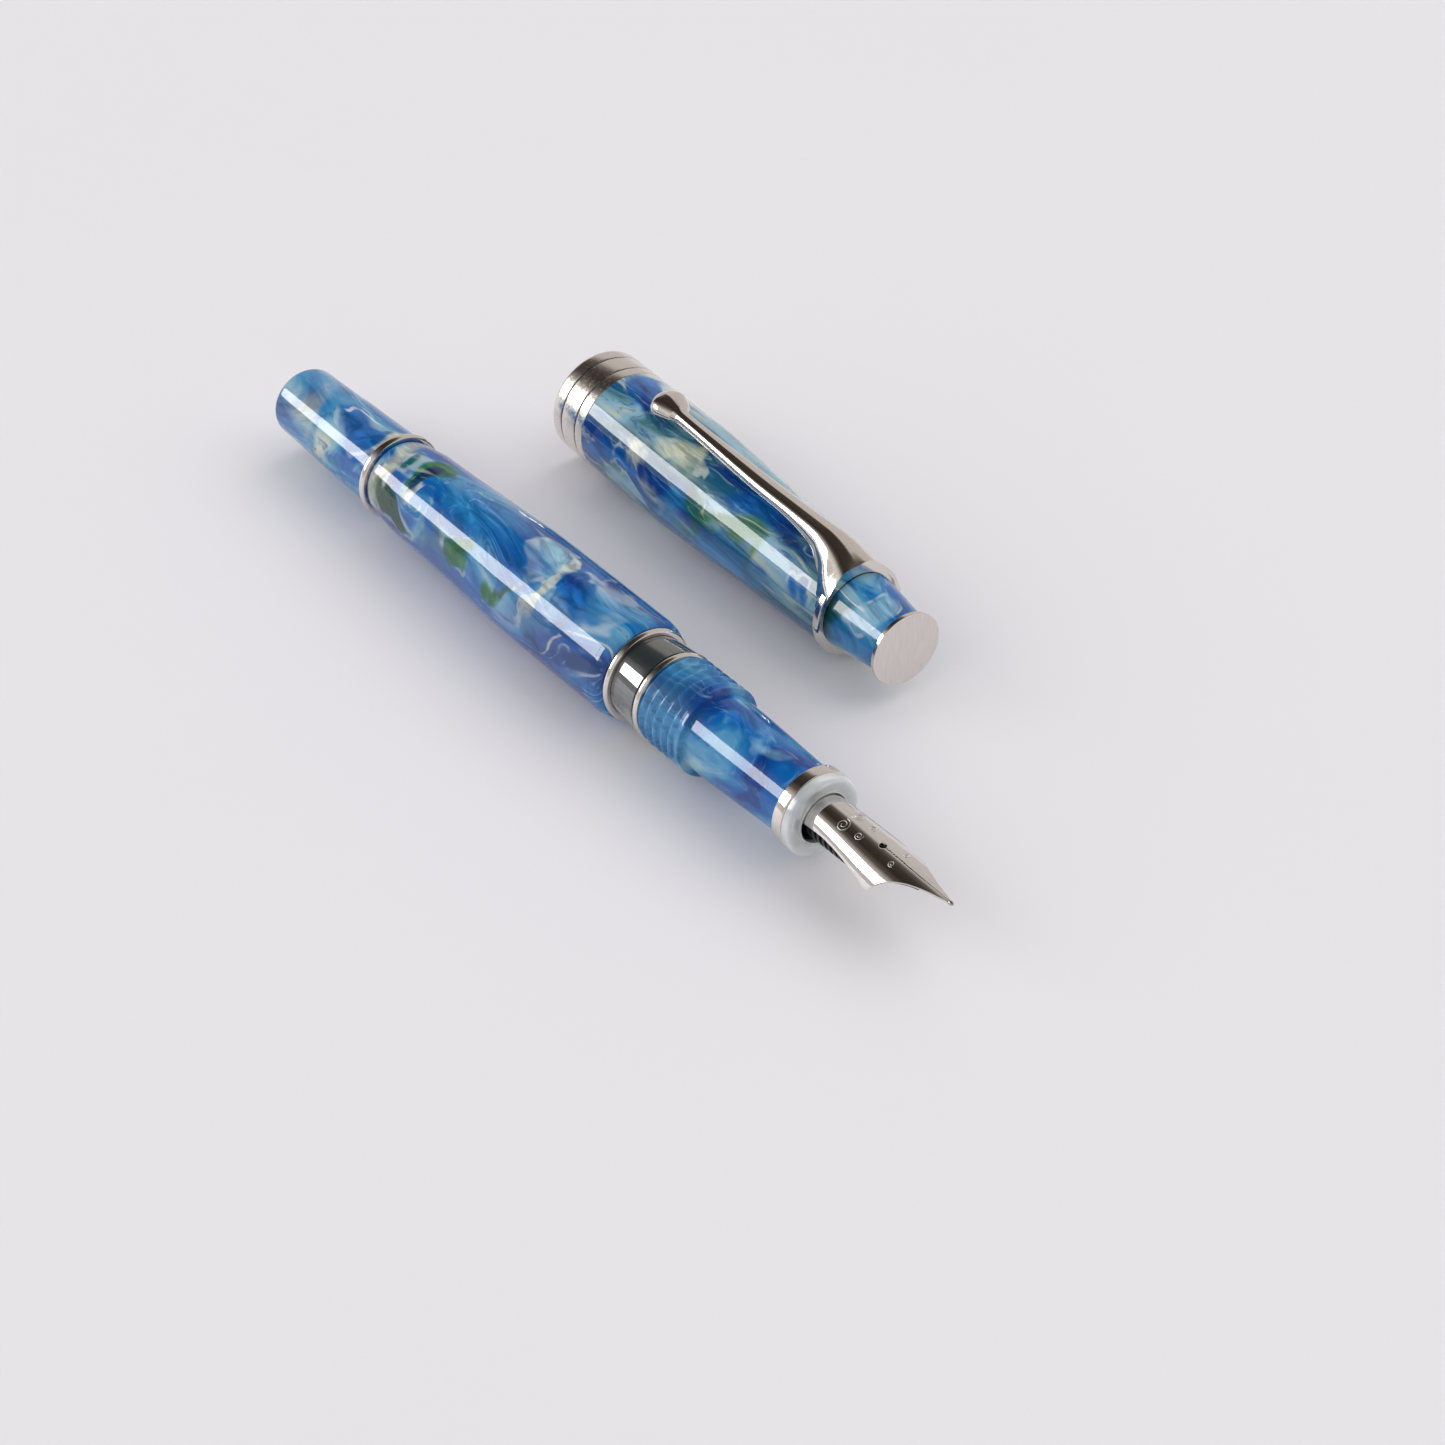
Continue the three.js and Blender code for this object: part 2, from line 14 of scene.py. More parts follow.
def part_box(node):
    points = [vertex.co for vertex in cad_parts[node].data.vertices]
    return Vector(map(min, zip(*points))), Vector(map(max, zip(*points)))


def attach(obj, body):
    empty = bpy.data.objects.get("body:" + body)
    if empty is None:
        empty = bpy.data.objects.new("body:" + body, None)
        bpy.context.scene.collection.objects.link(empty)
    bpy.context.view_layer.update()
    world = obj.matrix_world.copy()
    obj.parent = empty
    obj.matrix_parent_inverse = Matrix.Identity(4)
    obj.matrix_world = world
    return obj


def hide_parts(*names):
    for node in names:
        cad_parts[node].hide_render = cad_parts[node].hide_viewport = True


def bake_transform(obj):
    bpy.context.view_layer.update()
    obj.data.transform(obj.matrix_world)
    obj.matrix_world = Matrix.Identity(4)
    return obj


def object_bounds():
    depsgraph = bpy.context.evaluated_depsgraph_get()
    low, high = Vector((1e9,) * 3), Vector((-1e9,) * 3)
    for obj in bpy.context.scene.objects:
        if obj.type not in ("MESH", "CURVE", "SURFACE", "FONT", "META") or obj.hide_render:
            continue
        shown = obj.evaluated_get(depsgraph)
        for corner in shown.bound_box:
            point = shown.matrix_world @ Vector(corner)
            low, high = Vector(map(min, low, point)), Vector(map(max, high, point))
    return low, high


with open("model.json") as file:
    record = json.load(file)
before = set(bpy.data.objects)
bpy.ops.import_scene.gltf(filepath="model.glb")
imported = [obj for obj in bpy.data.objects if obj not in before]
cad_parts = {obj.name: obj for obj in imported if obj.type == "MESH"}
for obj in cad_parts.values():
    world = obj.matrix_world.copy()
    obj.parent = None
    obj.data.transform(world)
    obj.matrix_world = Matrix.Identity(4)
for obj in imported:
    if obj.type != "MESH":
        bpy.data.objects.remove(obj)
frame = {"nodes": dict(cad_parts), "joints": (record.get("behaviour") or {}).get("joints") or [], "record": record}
cad_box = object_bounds()

MM = 0.001
SIDES = 128  # facets round a turned piece
FIT = 0.05  # clearance between pieces that are fitted together
SHARP = math.radians(38)  # a dihedral angle above this is an edge, not a curve

BLADE_STEPS = 24  # facets across half of the nib
INNER_STEPS = 12  # facets across half of the clip's underside
NEAR = 1e-6  # lengths that differ by less than this are the same


# ---------------------------------------------------------------- the frame's axes and sizes
def axis_frame(origin, along, up):
    """Maps (station, sideways, up) in millimetres to the row frame in metres."""
    side = up.cross(along).normalized()
    columns = Matrix((along, side, along.cross(side))).transposed().to_4x4()
    return Matrix.Translation(origin) @ columns @ Matrix.Scale(MM, 4)


def mount(name):
    """A mount's point and outward direction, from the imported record."""
    found = next(m for m in frame["record"]["mounts"] if m["name"] == name)
    return Vector(found["pos_m"]), Vector(found["axis"]).normalized()


def joint(name):
    """A packed joint by its name."""
    return next(j for j in frame["joints"] if j["name"] == name)


def pen_axis():
    """The pen's axis, from the barrel's front face towards the nib."""
    back, outward = mount("knob_end_face")
    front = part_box("barrel")[1].x
    return axis_frame(Vector((front, back.y, back.z)), -outward, Vector((0, 0, 1)))


def cap_axis():
    """The cap's axis, from the finial's disc out of its end."""
    disc, outward = mount("cap_end_face")
    return axis_frame(disc, outward, Vector((0, 0, 1)))


def clip_axis():
    """The cap's axis rolled so that up points at the clip, whose hinge lies across it."""
    disc, outward = mount("cap_end_face")
    return axis_frame(disc, outward, outward.cross(Vector(joint("clip_flex")["axis"])))


PEN = pen_axis()
CAP = cap_axis()
CLIP = clip_axis()


def local_points(node_name, axis):
    """A CAD node's points in millimetres along and about an axis."""
    back = axis.inverted()
    return [back @ v.co for v in frame["nodes"][node_name].data.vertices]


def extent(node_name, axis):
    """A turned CAD node's first and last station and its largest radius."""
    points = local_points(node_name, axis)
    stations = [p.x for p in points]
    return min(stations), max(stations), max(math.hypot(p.y, p.z) for p in points)


def skin(node_name, axis, start=-math.inf, end=math.inf):
    """The outer outline of a turned CAD node: (station, radius) pairs between two stations. Faces
    count as outer when they look away from the axis."""
    mesh = frame["nodes"][node_name].data
    points = local_points(node_name, axis)
    least_outward = 0.3
    outer = {}
    for face in mesh.polygons:
        corners = [points[i] for i in face.vertices]
        middle = sum(corners, Vector()) / len(corners)
        normal = (corners[1] - corners[0]).cross(corners[2] - corners[0]).normalized()
        outward = normal.dot(Vector((0, middle.y, middle.z)).normalized())
        if outward < least_outward:
            continue
        for p in corners:
            station = round(p.x, 2)
            outer[station] = max(math.hypot(p.y, p.z), outer.get(station, 0))
    return [(s, outer[s]) for s in sorted(outer) if start - FIT <= s <= end + FIT]


# ---------------------------------------------------------------- outlines
def smooth(points, steps=6):
    """A Catmull-Rom run through the points."""
    run = []
    padded = [points[0], *points, points[-1]]
    for a, b, c, d in zip(padded, padded[1:], padded[2:], padded[3:]):
        for i in range(steps):
            t = i / steps
            weights = (
                (-t + 2 * t**2 - t**3) / 2,
                (2 - 5 * t**2 + 3 * t**3) / 2,
                (t + 4 * t**2 - 3 * t**3) / 2,
                (-(t**2) + t**3) / 2,
            )
            blended = (sum(w * p[k] for w, p in zip(weights, (a, b, c, d))) for k in range(len(b)))
            run.append(tuple(blended))
    return [*run, points[-1]]


def curve(*points):
    """A function of the station that runs smoothly through (station, value) points."""
    run = sorted(smooth(sorted(points), 10))

    def value(s):
        if s <= run[0][0]:
            return run[0][1]
        for (s0, v0), (s1, v1) in zip(run, run[1:]):
            if s <= s1:
                return v0 + (v1 - v0) * (s - s0) / max(s1 - s0, 1e-9)
        return run[-1][1]

    return value


def rounded(points, steps=5):
    """A closed outline with its corners rounded. A corner is (station, radius, cut): the curve that
    replaces it starts and ends at that distance from it."""
    outline = []
    for i, point in enumerate(points):
        corner = Vector(point[:2])
        if len(point) < 3:
            outline.append(tuple(corner))
            continue
        before = (Vector(points[i - 1][:2]) - corner).normalized() * point[2]
        after = (Vector(points[(i + 1) % len(points)][:2]) - corner).normalized() * point[2]
        for k in range(steps + 1):
            t = k / steps
            outline.append(tuple(corner + before * (1 - t) ** 2 + after * t**2))
    return outline


# ---------------------------------------------------------------- meshes
def piece(name, points, faces, material):
    """A new mesh piece from points in the row frame, shaded smooth but for its sharp edges."""
    mesh = bpy.data.meshes.new(name)
    mesh.from_pydata(points, [], faces)
    mesh.materials.append(material)
    made = bpy.data.objects.new(name, mesh)
    bpy.context.scene.collection.objects.link(made)
    mesh.shade_smooth()
    mesh.set_sharp_from_angle(angle=SHARP)
    return made


def swept(axis, outline, radius=None):
    """Points and faces of a closed outline turned about an axis. Points on the axis become poles.
    radius(station, r, angle) may change the outline's radius on the way round."""
    points, rings = [], []
    for s, r in outline:
        if r < NEAR:
            rings.append([len(points)])
            points.append(axis @ Vector((s, 0, 0)))
            continue
        rings.append(range(len(points), len(points) + SIDES))
        for i in range(SIDES):
            a = 2 * math.pi * i / SIDES
            reach = radius(s, r, a) if radius else r
            points.append(axis @ Vector((s, reach * math.sin(a), reach * math.cos(a))))
    faces = []
    pairs = list(zip(rings, rings[1:]))
    if len(rings[0]) > 1 or len(rings[-1]) > 1:
        pairs.append((rings[-1], rings[0]))
    for here, there in pairs:
        for i in range(SIDES):
            j = (i + 1) % SIDES
            quad = [here[i % len(here)], here[j % len(here)], there[j % len(there)], there[i % len(there)]]
            corners = list(dict.fromkeys(quad))
            if len(corners) > 2:
                faces.append(corners)
    return points, faces


def turned(name, node_name, axis, outline, material, body, radius=None):
    """A turned piece that replaces a CAD node. Its outline runs so that its faces look outwards."""
    points, faces = swept(axis, outline, radius)
    made = piece(name, points, faces, material)
    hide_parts(node_name)
    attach(made, body)
    return made


def lofted(loops):
    """Points and faces of a skin through closed loops of the same number of points, with flat ends."""
    size = len(loops[0])
    points = [p for loop in loops for p in loop]
    faces = []
    for k in range(len(loops) - 1):
        for i in range(size):
            a, b = k * size + i, k * size + (i + 1) % size
            faces.append([a, b, b + size, a + size])
    faces.append(list(range(size))[::-1])
    faces.append([(len(loops) - 1) * size + i for i in range(size)])
    return points, faces


# ---------------------------------------------------------------- material nodes
def node(tree, kind, inputs=None, **settings):
    """A new shader node. An input that is given a socket is linked to it, any other is set."""
    made = tree.nodes.new("ShaderNode" + kind)
    for name, value in settings.items():
        setattr(made, name, value)
    for key, value in (inputs or {}).items():
        if isinstance(value, bpy.types.NodeSocket):
            tree.links.new(value, made.inputs[key])
        else:
            made.inputs[key].default_value = value
    return made


def calculate(tree, operation, *values):
    return node(tree, "Math", dict(enumerate(values)), operation=operation).outputs[0]


def vector(tree, operation, a, b):
    inputs = {0: a, "Scale": b} if operation == "SCALE" else {0: a, 1: b}
    return node(tree, "VectorMath", inputs, operation=operation).outputs[0]


def noise(tree, place, scale, detail=2.0, roughness=0.5, distortion=0.0):
    inputs = {"Vector": place, "Scale": scale, "Detail": detail}
    inputs.update({"Roughness": roughness, "Distortion": distortion})
    return node(tree, "TexNoise", inputs)


def ramp(tree, value, stops, interpolation="LINEAR"):
    """A colour ramp with (position, colour) stops."""
    made = node(tree, "ValToRGB", {0: value})
    made.color_ramp.interpolation = interpolation
    elements = made.color_ramp.elements
    while len(elements) < len(stops):
        elements.new(1)
    for element, (position, colour) in zip(elements, stops):
        element.position = position
        element.color = (*colour, 1)
    return made.outputs[0]


def fade(tree, value, low, high):
    """0 below low and 1 above high, with a smooth step between them. Swapped limits turn it round."""
    start, end = float(low > high), float(low < high)
    return between(tree, value, min(low, high), max(low, high), start, end, "SMOOTHSTEP")


def between(tree, value, start, end, low, high, interpolation="LINEAR"):
    """Takes the values from start to end to those from low to high."""
    limits = {"Value": value, 1: start, 2: end, 3: low, 4: high}
    return node(tree, "MapRange", limits, interpolation_type=interpolation).outputs[0]


def mix(tree, factor, a, b):
    """Colour a at factor 0 and colour b at factor 1."""
    made = node(tree, "Mix", {0: factor}, data_type="RGBA")
    for key, value in ((6, a), (7, b)):
        if isinstance(value, bpy.types.NodeSocket):
            tree.links.new(value, made.inputs[key])
        else:
            made.inputs[key].default_value = (*value, 1)
    return made.outputs[2]


def lay(tree, colour, tone, share, strength):
    """A tone laid over a colour, as thick as the share times the strength."""
    return mix(tree, calculate(tree, "MULTIPLY", share, strength), colour, tone)


def new_material(name):
    made = bpy.data.materials.new(name)
    made.use_nodes = True
    made.node_tree.nodes.clear()
    return made, made.node_tree


def place_in_mm(tree, stretch=(1, 1, 1)):
    """The piece's own coordinates in millimetres, squeezed so that a texture comes out stretched."""
    place = node(tree, "TexCoord").outputs["Object"]
    return vector(tree, "MULTIPLY", place, tuple(1 / (MM * s) for s in stretch))


def surface(tree, inputs):
    shader = node(tree, "BsdfPrincipled", inputs)
    node(tree, "OutputMaterial", {"Surface": shader.outputs[0]})


def bump(tree, height, strength, distance):
    inputs = {"Height": height, "Strength": strength, "Distance": distance * MM}
    return node(tree, "Bump", inputs).outputs[0]


# ---------------------------------------------------------------- the resin
NAVY = (0.002, 0.014, 0.10)
DEEP_BLUE = (0.0012, 0.036, 0.21)
STRONG_BLUE = (0.002, 0.105, 0.37)
MID_BLUE = (0.014, 0.175, 0.42)
SOFT_BLUE = (0.065, 0.265, 0.47)
PALE_BLUE = (0.23, 0.42, 0.53)
VIOLET = (0.050, 0.105, 0.36)
IVORY = (0.58, 0.60, 0.45)
WHITE = (0.68, 0.74, 0.72)
TEAL = (0.012, 0.105, 0.17)
GREY_GREEN = (0.09, 0.22, 0.25)
LEAF_GREEN = (0.008, 0.13, 0.030)
DARK_GREEN = (0.002, 0.045, 0.018)

LAYER_RATE = 85.0  # fine layers from the darkest cloud to the lightest, times 2 pi
LIGHT_LAYERS, DARK_LAYERS = 0.36, 0.60  # how strongly the layers show
LIGHT_SMOKE, DARK_SMOKE = 0.5, 0.7  # how strongly the smoky streaks show
RIM_LEVEL, RIM_WIDTH, RIM_STRENGTH = 1.1, 0.18, 0.4  # the pale rim just outside a patch's edge
SOFT_EDGE = 0.5  # patches softer than this have no pale rim


def stir(tree, place, scale, reach, detail):
    """Coordinates pushed about by noise, as the resin was when it was poured."""
    push = noise(tree, place, scale, detail, 0.55).outputs["Color"]
    centred = vector(tree, "SUBTRACT", push, (0.5, 0.5, 0.5))
    return vector(tree, "ADD", place, vector(tree, "SCALE", centred, reach))


def patch(tree, axis, centre, size, place):
    """The distance from a poured patch: 0 in its middle and 1 at its edge. The centre is
    (station, radius, angle), the angle in degrees from straight up towards the light."""
    station, radius, degrees = centre
    turn = math.radians(degrees)
    middle = axis @ Vector((station, -radius * math.sin(turn), radius * math.cos(turn))) / MM
    length, width = size
    away = vector(tree, "SUBTRACT", place, tuple(middle))
    scaled = vector(tree, "MULTIPLY", away, (1 / length, 1 / width, 1 / width))
    return node(tree, "VectorMath", {0: scaled}, operation="LENGTH").outputs["Value"]


def band(tree, value, level, width):
    """1 where the value is at the level, fading to 0 at the width on both sides."""
    offset = calculate(tree, "ABSOLUTE", calculate(tree, "SUBTRACT", value, level))
    return fade(tree, offset, width, width * 0.25)


def layered(tree, colour, clouds, smoke, layering):
    """Fine light and dark layers that follow the clouds, and smoky streaks over them."""
    layers = calculate(tree, "SINE", calculate(tree, "MULTIPLY", clouds, LAYER_RATE))
    light = calculate(tree, "MULTIPLY", fade(tree, layers, 0.0, 1.0), fade(tree, smoke, 0.48, 0.64))
    dark = calculate(tree, "MULTIPLY", fade(tree, layers, 0.0, -1.0), fade(tree, smoke, 0.54, 0.38))
    veils = (
        (light, LIGHT_LAYERS * layering, PALE_BLUE),
        (dark, DARK_LAYERS * layering, DEEP_BLUE),
        (fade(tree, smoke, 0.56, 0.76), LIGHT_SMOKE, PALE_BLUE),
        (fade(tree, smoke, 0.46, 0.28), DARK_SMOKE, STRONG_BLUE),
    )
    for share, strength, tone in veils:
        colour = lay(tree, colour, tone, share, strength)
    return colour


def patched(tree, colour, axis, patches, place, smoke, rims):
    """Patches poured at given places, shaded by the smoke. rims says where their pale rims show."""
    cloudy = fade(tree, smoke, 0.36, 0.66)
    for centre, size, tone, strength, softness in patches:
        distance = patch(tree, axis, centre, size, place)
        inside = fade(tree, distance, 1 + softness, 1 - softness)
        darker = tuple(c * 0.62 for c in tone)
        lighter = tuple(min(1, c * 1.3 + 0.01) for c in tone)
        shaded = mix(tree, cloudy, darker, lighter)
        colour = lay(tree, colour, shaded, inside, strength)
        if softness < SOFT_EDGE:
            rim = calculate(tree, "MULTIPLY", band(tree, distance, RIM_LEVEL, RIM_WIDTH), rims)
            colour = lay(tree, colour, WHITE, rim, RIM_STRENGTH)
    return colour


def resin(name, axis, seed, tones, patches, ribbons, layering=1.0, stretch=2.4):
    """Swirled resin: stirred clouds of colour with fine layers, smoky streaks along the piece, poured
    patches, and broken ribbons that follow one level of the clouds. The seed moves the whole pattern."""
    material, tree = new_material(name)
    plain = place_in_mm(tree)
    own_place = (seed * 37.0, seed * 11.0, seed * 5.0)
    offset = vector(tree, "ADD", place_in_mm(tree, (stretch, 1, 1)), own_place)
    once = stir(tree, offset, 0.08, 15.0, 0.0)
    twice = stir(tree, once, 0.21, 6.5, 1.0)
    poured = stir(tree, stir(tree, plain, 0.12, 9.0, 0.0), 0.34, 3.2, 1.0)
    clouds = noise(tree, twice, 0.13, 1.0, 0.4).outputs["Fac"]
    streaks = vector(tree, "MULTIPLY", twice, (0.4, 1.4, 1.4))
    smoke = noise(tree, streaks, 0.5, 4.0, 0.6, 0.3).outputs["Fac"]

    colour = ramp(tree, clouds, tones, "EASE")
    colour = layered(tree, colour, clouds, smoke, layering)
    rims = fade(tree, noise(tree, twice, 0.3, 1.0).outputs["Fac"], 0.44, 0.60)
    colour = patched(tree, colour, axis, patches, poured, smoke, rims)

    where = fade(tree, noise(tree, once, 0.16, 0.0).outputs["Fac"], 0.50, 0.60)
    broken = calculate(tree, "MULTIPLY", where, fade(tree, smoke, 0.40, 0.60))
    for level, width, tone, strength in ribbons:
        ribbon = calculate(tree, "MULTIPLY", band(tree, clouds, level, width), broken)
        colour = lay(tree, colour, tone, ribbon, strength)

    fine = noise(tree, plain, 3.0, 3.0).outputs["Fac"]
    surface(
        tree,
        {
            "Base Color": colour,
            "Roughness": between(tree, fine, 0, 1, 0.03, 0.07),
            "IOR": 1.54,
            "Subsurface Weight": 0.08,
            "Subsurface Radius": (0.8, 1.0, 1.4),
            "Subsurface Scale": 0.5 * MM,
            "Normal": bump(tree, noise(tree, plain, 0.4, 1.0).outputs["Fac"], 0.006, 0.05),
        },
    )
    return material


BLUES = (DEEP_BLUE, STRONG_BLUE, MID_BLUE, SOFT_BLUE, PALE_BLUE)
BLUE_TONES = list(zip((0.36, 0.44, 0.51, 0.58, 0.68), BLUES))
GRIP_TONES = list(zip((0.33, 0.42, 0.49, 0.56, 0.68), BLUES))
PALE_TONES = [(0.34, STRONG_BLUE), (0.43, MID_BLUE), (0.50, SOFT_BLUE), (0.58, PALE_BLUE), (0.68, IVORY)]
SEA_TONES = [(0.35, DEEP_BLUE), (0.43, TEAL), (0.51, GREY_GREEN), (0.60, PALE_BLUE), (0.70, IVORY)]


# ---------------------------------------------------------------- metals, plastics and rubber
def grained(tree, colour, fine, shade, roughness, marks, depth, metallic=1.0):
    """A finish whose tone, polish and relief all follow one fine texture. shade is the place where its
    darkest tone ends and how dark that is, roughness its least and most."""
    darkest_end, darkness = shade
    darkest = tuple(c * darkness for c in colour)
    surface(
        tree,
        {
            "Base Color": mix(tree, fade(tree, fine, darkest_end, 0.7), darkest, colour),
            "Metallic": metallic,
            "Roughness": between(tree, fine, 0.3, 0.7, *roughness),
            "Normal": bump(tree, fine, marks, depth),
        },
    )


def metal(name, colour, roughness, grain=(1, 1, 1), marks=0.004):
    """Metal with a faint unevenness of tone and polish. grain stretches its marks."""
    material, tree = new_material(name)
    fine = noise(tree, place_in_mm(tree, grain), 2.5, 4.0, 0.6).outputs["Fac"]
    grained(tree, colour, fine, (0.35, 0.93), (roughness * 0.7, roughness * 1.5), marks, 0.05)
    return material


def brushed_disc(name, colour):
    """Straight vertical grain, as left by a belt."""
    material, tree = new_material(name)
    lines = noise(tree, place_in_mm(tree, (1, 0.09, 2.5)), 1.0, 5.0, 0.65).outputs["Fac"]
    grained(tree, colour, lines, (0.3, 0.84), (0.30, 0.46), 0.25, 0.03)
    return material


def plastic(name, colour, roughness, grain=4.0, marks=0.15):
    """Moulded plastic or rubber with a fine surface texture."""
    material, tree = new_material(name)
    fine = noise(tree, place_in_mm(tree), grain, 4.0, 0.6).outputs["Fac"]
    grained(tree, colour, fine, (0.3, 0.85), (roughness * 0.85, roughness * 1.15), marks, 0.03, metallic=0.0)
    return material


def smoky_clear(name):
    """Clear plastic over ink: dark, a little see-through, with painted reflection in light and dark bands by
    height, darkest along the top.
    """
    material, tree = new_material(name)
    place = place_in_mm(tree)
    haze = noise(tree, vector(tree, "MULTIPLY", place, (0.6, 1, 1)), 0.45, 3.0, 0.6).outputs["Fac"]
    # Painted reflection: the tone is set by height round the tube, in light and dark bands, darkest along the top.
    height = node(tree, "SeparateXYZ", {0: place}).outputs["Z"]
    painted_reflection_height = calculate(tree, "ADD", height, calculate(tree, "MULTIPLY", haze, 6.0))
    tones = ((0.20, 0.21, 0.18), (0.07, 0.09, 0.08), (0.22, 0.23, 0.20), (0.02, 0.03, 0.034))
    painted_reflection_bands = list(zip((0.0, 0.3, 0.45, 0.6), tones))
    surface(
        tree,
        {
            "Base Color": ramp(tree, between(tree, painted_reflection_height, 3.0, 15.0, 0, 1), painted_reflection_bands),
            "Roughness": between(tree, haze, 0, 1, 0.01, 0.04),
            "IOR": 1.49,
            "Transmission Weight": 0.15,
        },
    )
    return material


def milky(name):
    """Cloudy white plastic that light soaks into."""
    material, tree = new_material(name)
    haze = noise(tree, place_in_mm(tree), 0.4, 3.0).outputs["Fac"]
    tint = mix(tree, fade(tree, haze, 0.3, 0.7), (0.50, 0.54, 0.57), (0.62, 0.66, 0.68))
    surface(
        tree,
        {
            "Base Color": tint,
            "Roughness": between(tree, haze, 0, 1, 0.14, 0.22),
            "IOR": 1.49,
            "Transmission Weight": 0.25,
            "Subsurface Weight": 0.8,
            "Subsurface Radius": (1.0, 1.0, 1.1),
            "Subsurface Scale": 1.5 * MM,
        },
    )
    return material


NICKEL_COLOUR = (0.80, 0.75, 0.70)
nickel = metal("polished_nickel", NICKEL_COLOUR, 0.09)
satin_nickel = metal("satin_nickel", NICKEL_COLOUR, 0.20, marks=0.02)
nib_steel = metal("nib_steel", (0.80, 0.77, 0.74), 0.06, grain=(3, 1, 1))
engraved_steel = metal("engraved_steel", (0.86, 0.84, 0.82), 0.38)
nib_point = metal("nib_point", (0.50, 0.48, 0.46), 0.25)
brass = metal("brass", (0.72, 0.53, 0.22), 0.25, grain=(0.3, 1, 1), marks=0.1)
brushed_nickel = brushed_disc("brushed_nickel", (0.80, 0.76, 0.72))
window_clear = smoky_clear("clear_window")
lip_milky = milky("milky_lip")
black_plastic = plastic("black_plastic", (0.012, 0.012, 0.013), 0.38)
seal_rubber = plastic("seal_rubber", (0.02, 0.02, 0.022), 0.7, grain=2.0, marks=0.3)
white_plastic = plastic("white_plastic", (0.78, 0.77, 0.74), 0.4)

# Patches poured into each piece: (station, radius, angle), (length, width), colour, strength, softness.
# Ribbons: the level of the clouds that a ribbon follows, its width, colour and strength.
knob_resin = resin(
    "knob_resin",
    PEN,
    1,
    PALE_TONES,
    [
        ((-72, 5, 35), (4, 3), IVORY, 0.55, 0.7),
        ((-60, 5, 15), (4.5, 2.4), STRONG_BLUE, 0.95, 0.4),
        ((-76, 5, 85), (2.5, 2.5), DEEP_BLUE, 0.8, 0.6),
        ((-68, 5, 95), (7, 2.2), MID_BLUE, 0.8, 0.6),
        ((-55.6, 5.3, 10), (1.3, 3), IVORY, 0.8, 0.5),
    ],
    [(0.53, 0.02, WHITE, 0.7), (0.44, 0.012, PALE_BLUE, 0.7)],
)
barrel_resin = resin(
    "barrel_resin",
    PEN,
    2,
    BLUE_TONES,
    [
        ((-34, 6.8, 100), (16, 3.2), VIOLET, 0.8, 0.7),
        ((-50.5, 6, 25), (2.4, 5), IVORY, 0.85, 0.5),
        ((-47.5, 6.1, 60), (4.6, 2.3), DARK_GREEN, 0.97, 0.25),
        ((-46.5, 6.1, 8), (5.0, 2.4), LEAF_GREEN, 0.97, 0.25),
        ((-43.5, 6.1, 14), (3.2, 1.5), NAVY, 0.95, 0.3),
        ((-38, 6.5, 62), (6, 1.6), GREY_GREEN, 0.75, 0.5),
        ((-27.5, 6.8, 58), (7.5, 1.8), LEAF_GREEN, 0.95, 0.3),
        ((-21, 6.8, 52), (3, 1.3), DARK_GREEN, 0.8, 0.5),
        ((-30, 6.8, 5), (9, 3.6), MID_BLUE, 0.8, 0.7),
        ((-17.5, 6.8, 5), (2.2, 4.5), PALE_BLUE, 0.85, 0.4),
        ((-15.5, 6.8, 40), (1.3, 6), IVORY, 0.75, 0.4),
        ((-9.5, 6.8, 26), (6.0, 4.2), STRONG_BLUE, 0.97, 0.35),
        ((-11, 6.8, 16), (3.4, 2.4), DEEP_BLUE, 0.9, 0.5),
        ((-7, 6.8, 80), (9, 4.6), DEEP_BLUE, 0.9, 0.5),
        ((-24, 6.8, 30), (6, 2.0), STRONG_BLUE, 0.8, 0.6),
        ((-4, 6.8, 0), (3, 2), SOFT_BLUE, 0.8, 0.5),
    ],
    [(0.54, 0.018, IVORY, 0.55), (0.47, 0.008, PALE_BLUE, 0.55)],
)
section_resin = resin(
    "section_resin",
    PEN,
    3,
    GRIP_TONES,
    [
        ((9, 5.2, 60), (4, 8), SOFT_BLUE, 0.7, 0.7),
        ((20, 5, 10), (4.5, 2.2), STRONG_BLUE, 0.9, 0.5),
        ((17, 5.3, 72), (2, 1.4), IVORY, 0.85, 0.3),
        ((20.5, 5.2, 80), (3, 1.6), DEEP_BLUE, 0.7, 0.5),
        ((26, 4.8, 5), (3, 1.3), PALE_BLUE, 0.7, 0.5),
    ],
    [(0.58, 0.03, PALE_BLUE, 0.5)],
    layering=0.35,
)
cap_resin = resin(
    "cap_resin",
    CAP,
    4,
    SEA_TONES,
    [
        ((-38, 7.1, -48), (20, 4.2), PALE_BLUE, 0.75, 0.6),
        ((-30, 6.7, -60), (12, 3.0), IVORY, 0.6, 0.6),
        ((-57, 7.4, 5), (4.5, 3.4), STRONG_BLUE, 0.95, 0.35),
        ((-54, 7.4, 12), (2.5, 1.4), DEEP_BLUE, 0.9, 0.5),
        ((-52, 7.3, 84), (10, 1.9), STRONG_BLUE, 0.97, 0.3),
        ((-34, 7.0, 96), (14, 2.2), MID_BLUE, 0.9, 0.5),
        ((-48, 7.3, 62), (8, 1.8), IVORY, 0.75, 0.5),
        ((-42, 7.3, 34), (5, 2.6), IVORY, 0.85, 0.3),
        ((-29, 6.7, 66), (9, 1.8), LEAF_GREEN, 0.9, 0.5),
        ((-27, 6.6, 24), (6, 2.2), STRONG_BLUE, 0.9, 0.5),
        ((-20, 6.3, 16), (5, 2.0), DEEP_BLUE, 0.85, 0.5),
        ((-18, 6.2, 68), (5, 2.0), STRONG_BLUE, 0.95, 0.4),
        ((-14, 6.1, 84), (4, 2.4), GREY_GREEN, 0.7, 0.5),
    ],
    [(0.53, 0.018, IVORY, 0.6), (0.46, 0.010, PALE_BLUE, 0.7)],
    stretch=3.6,
)
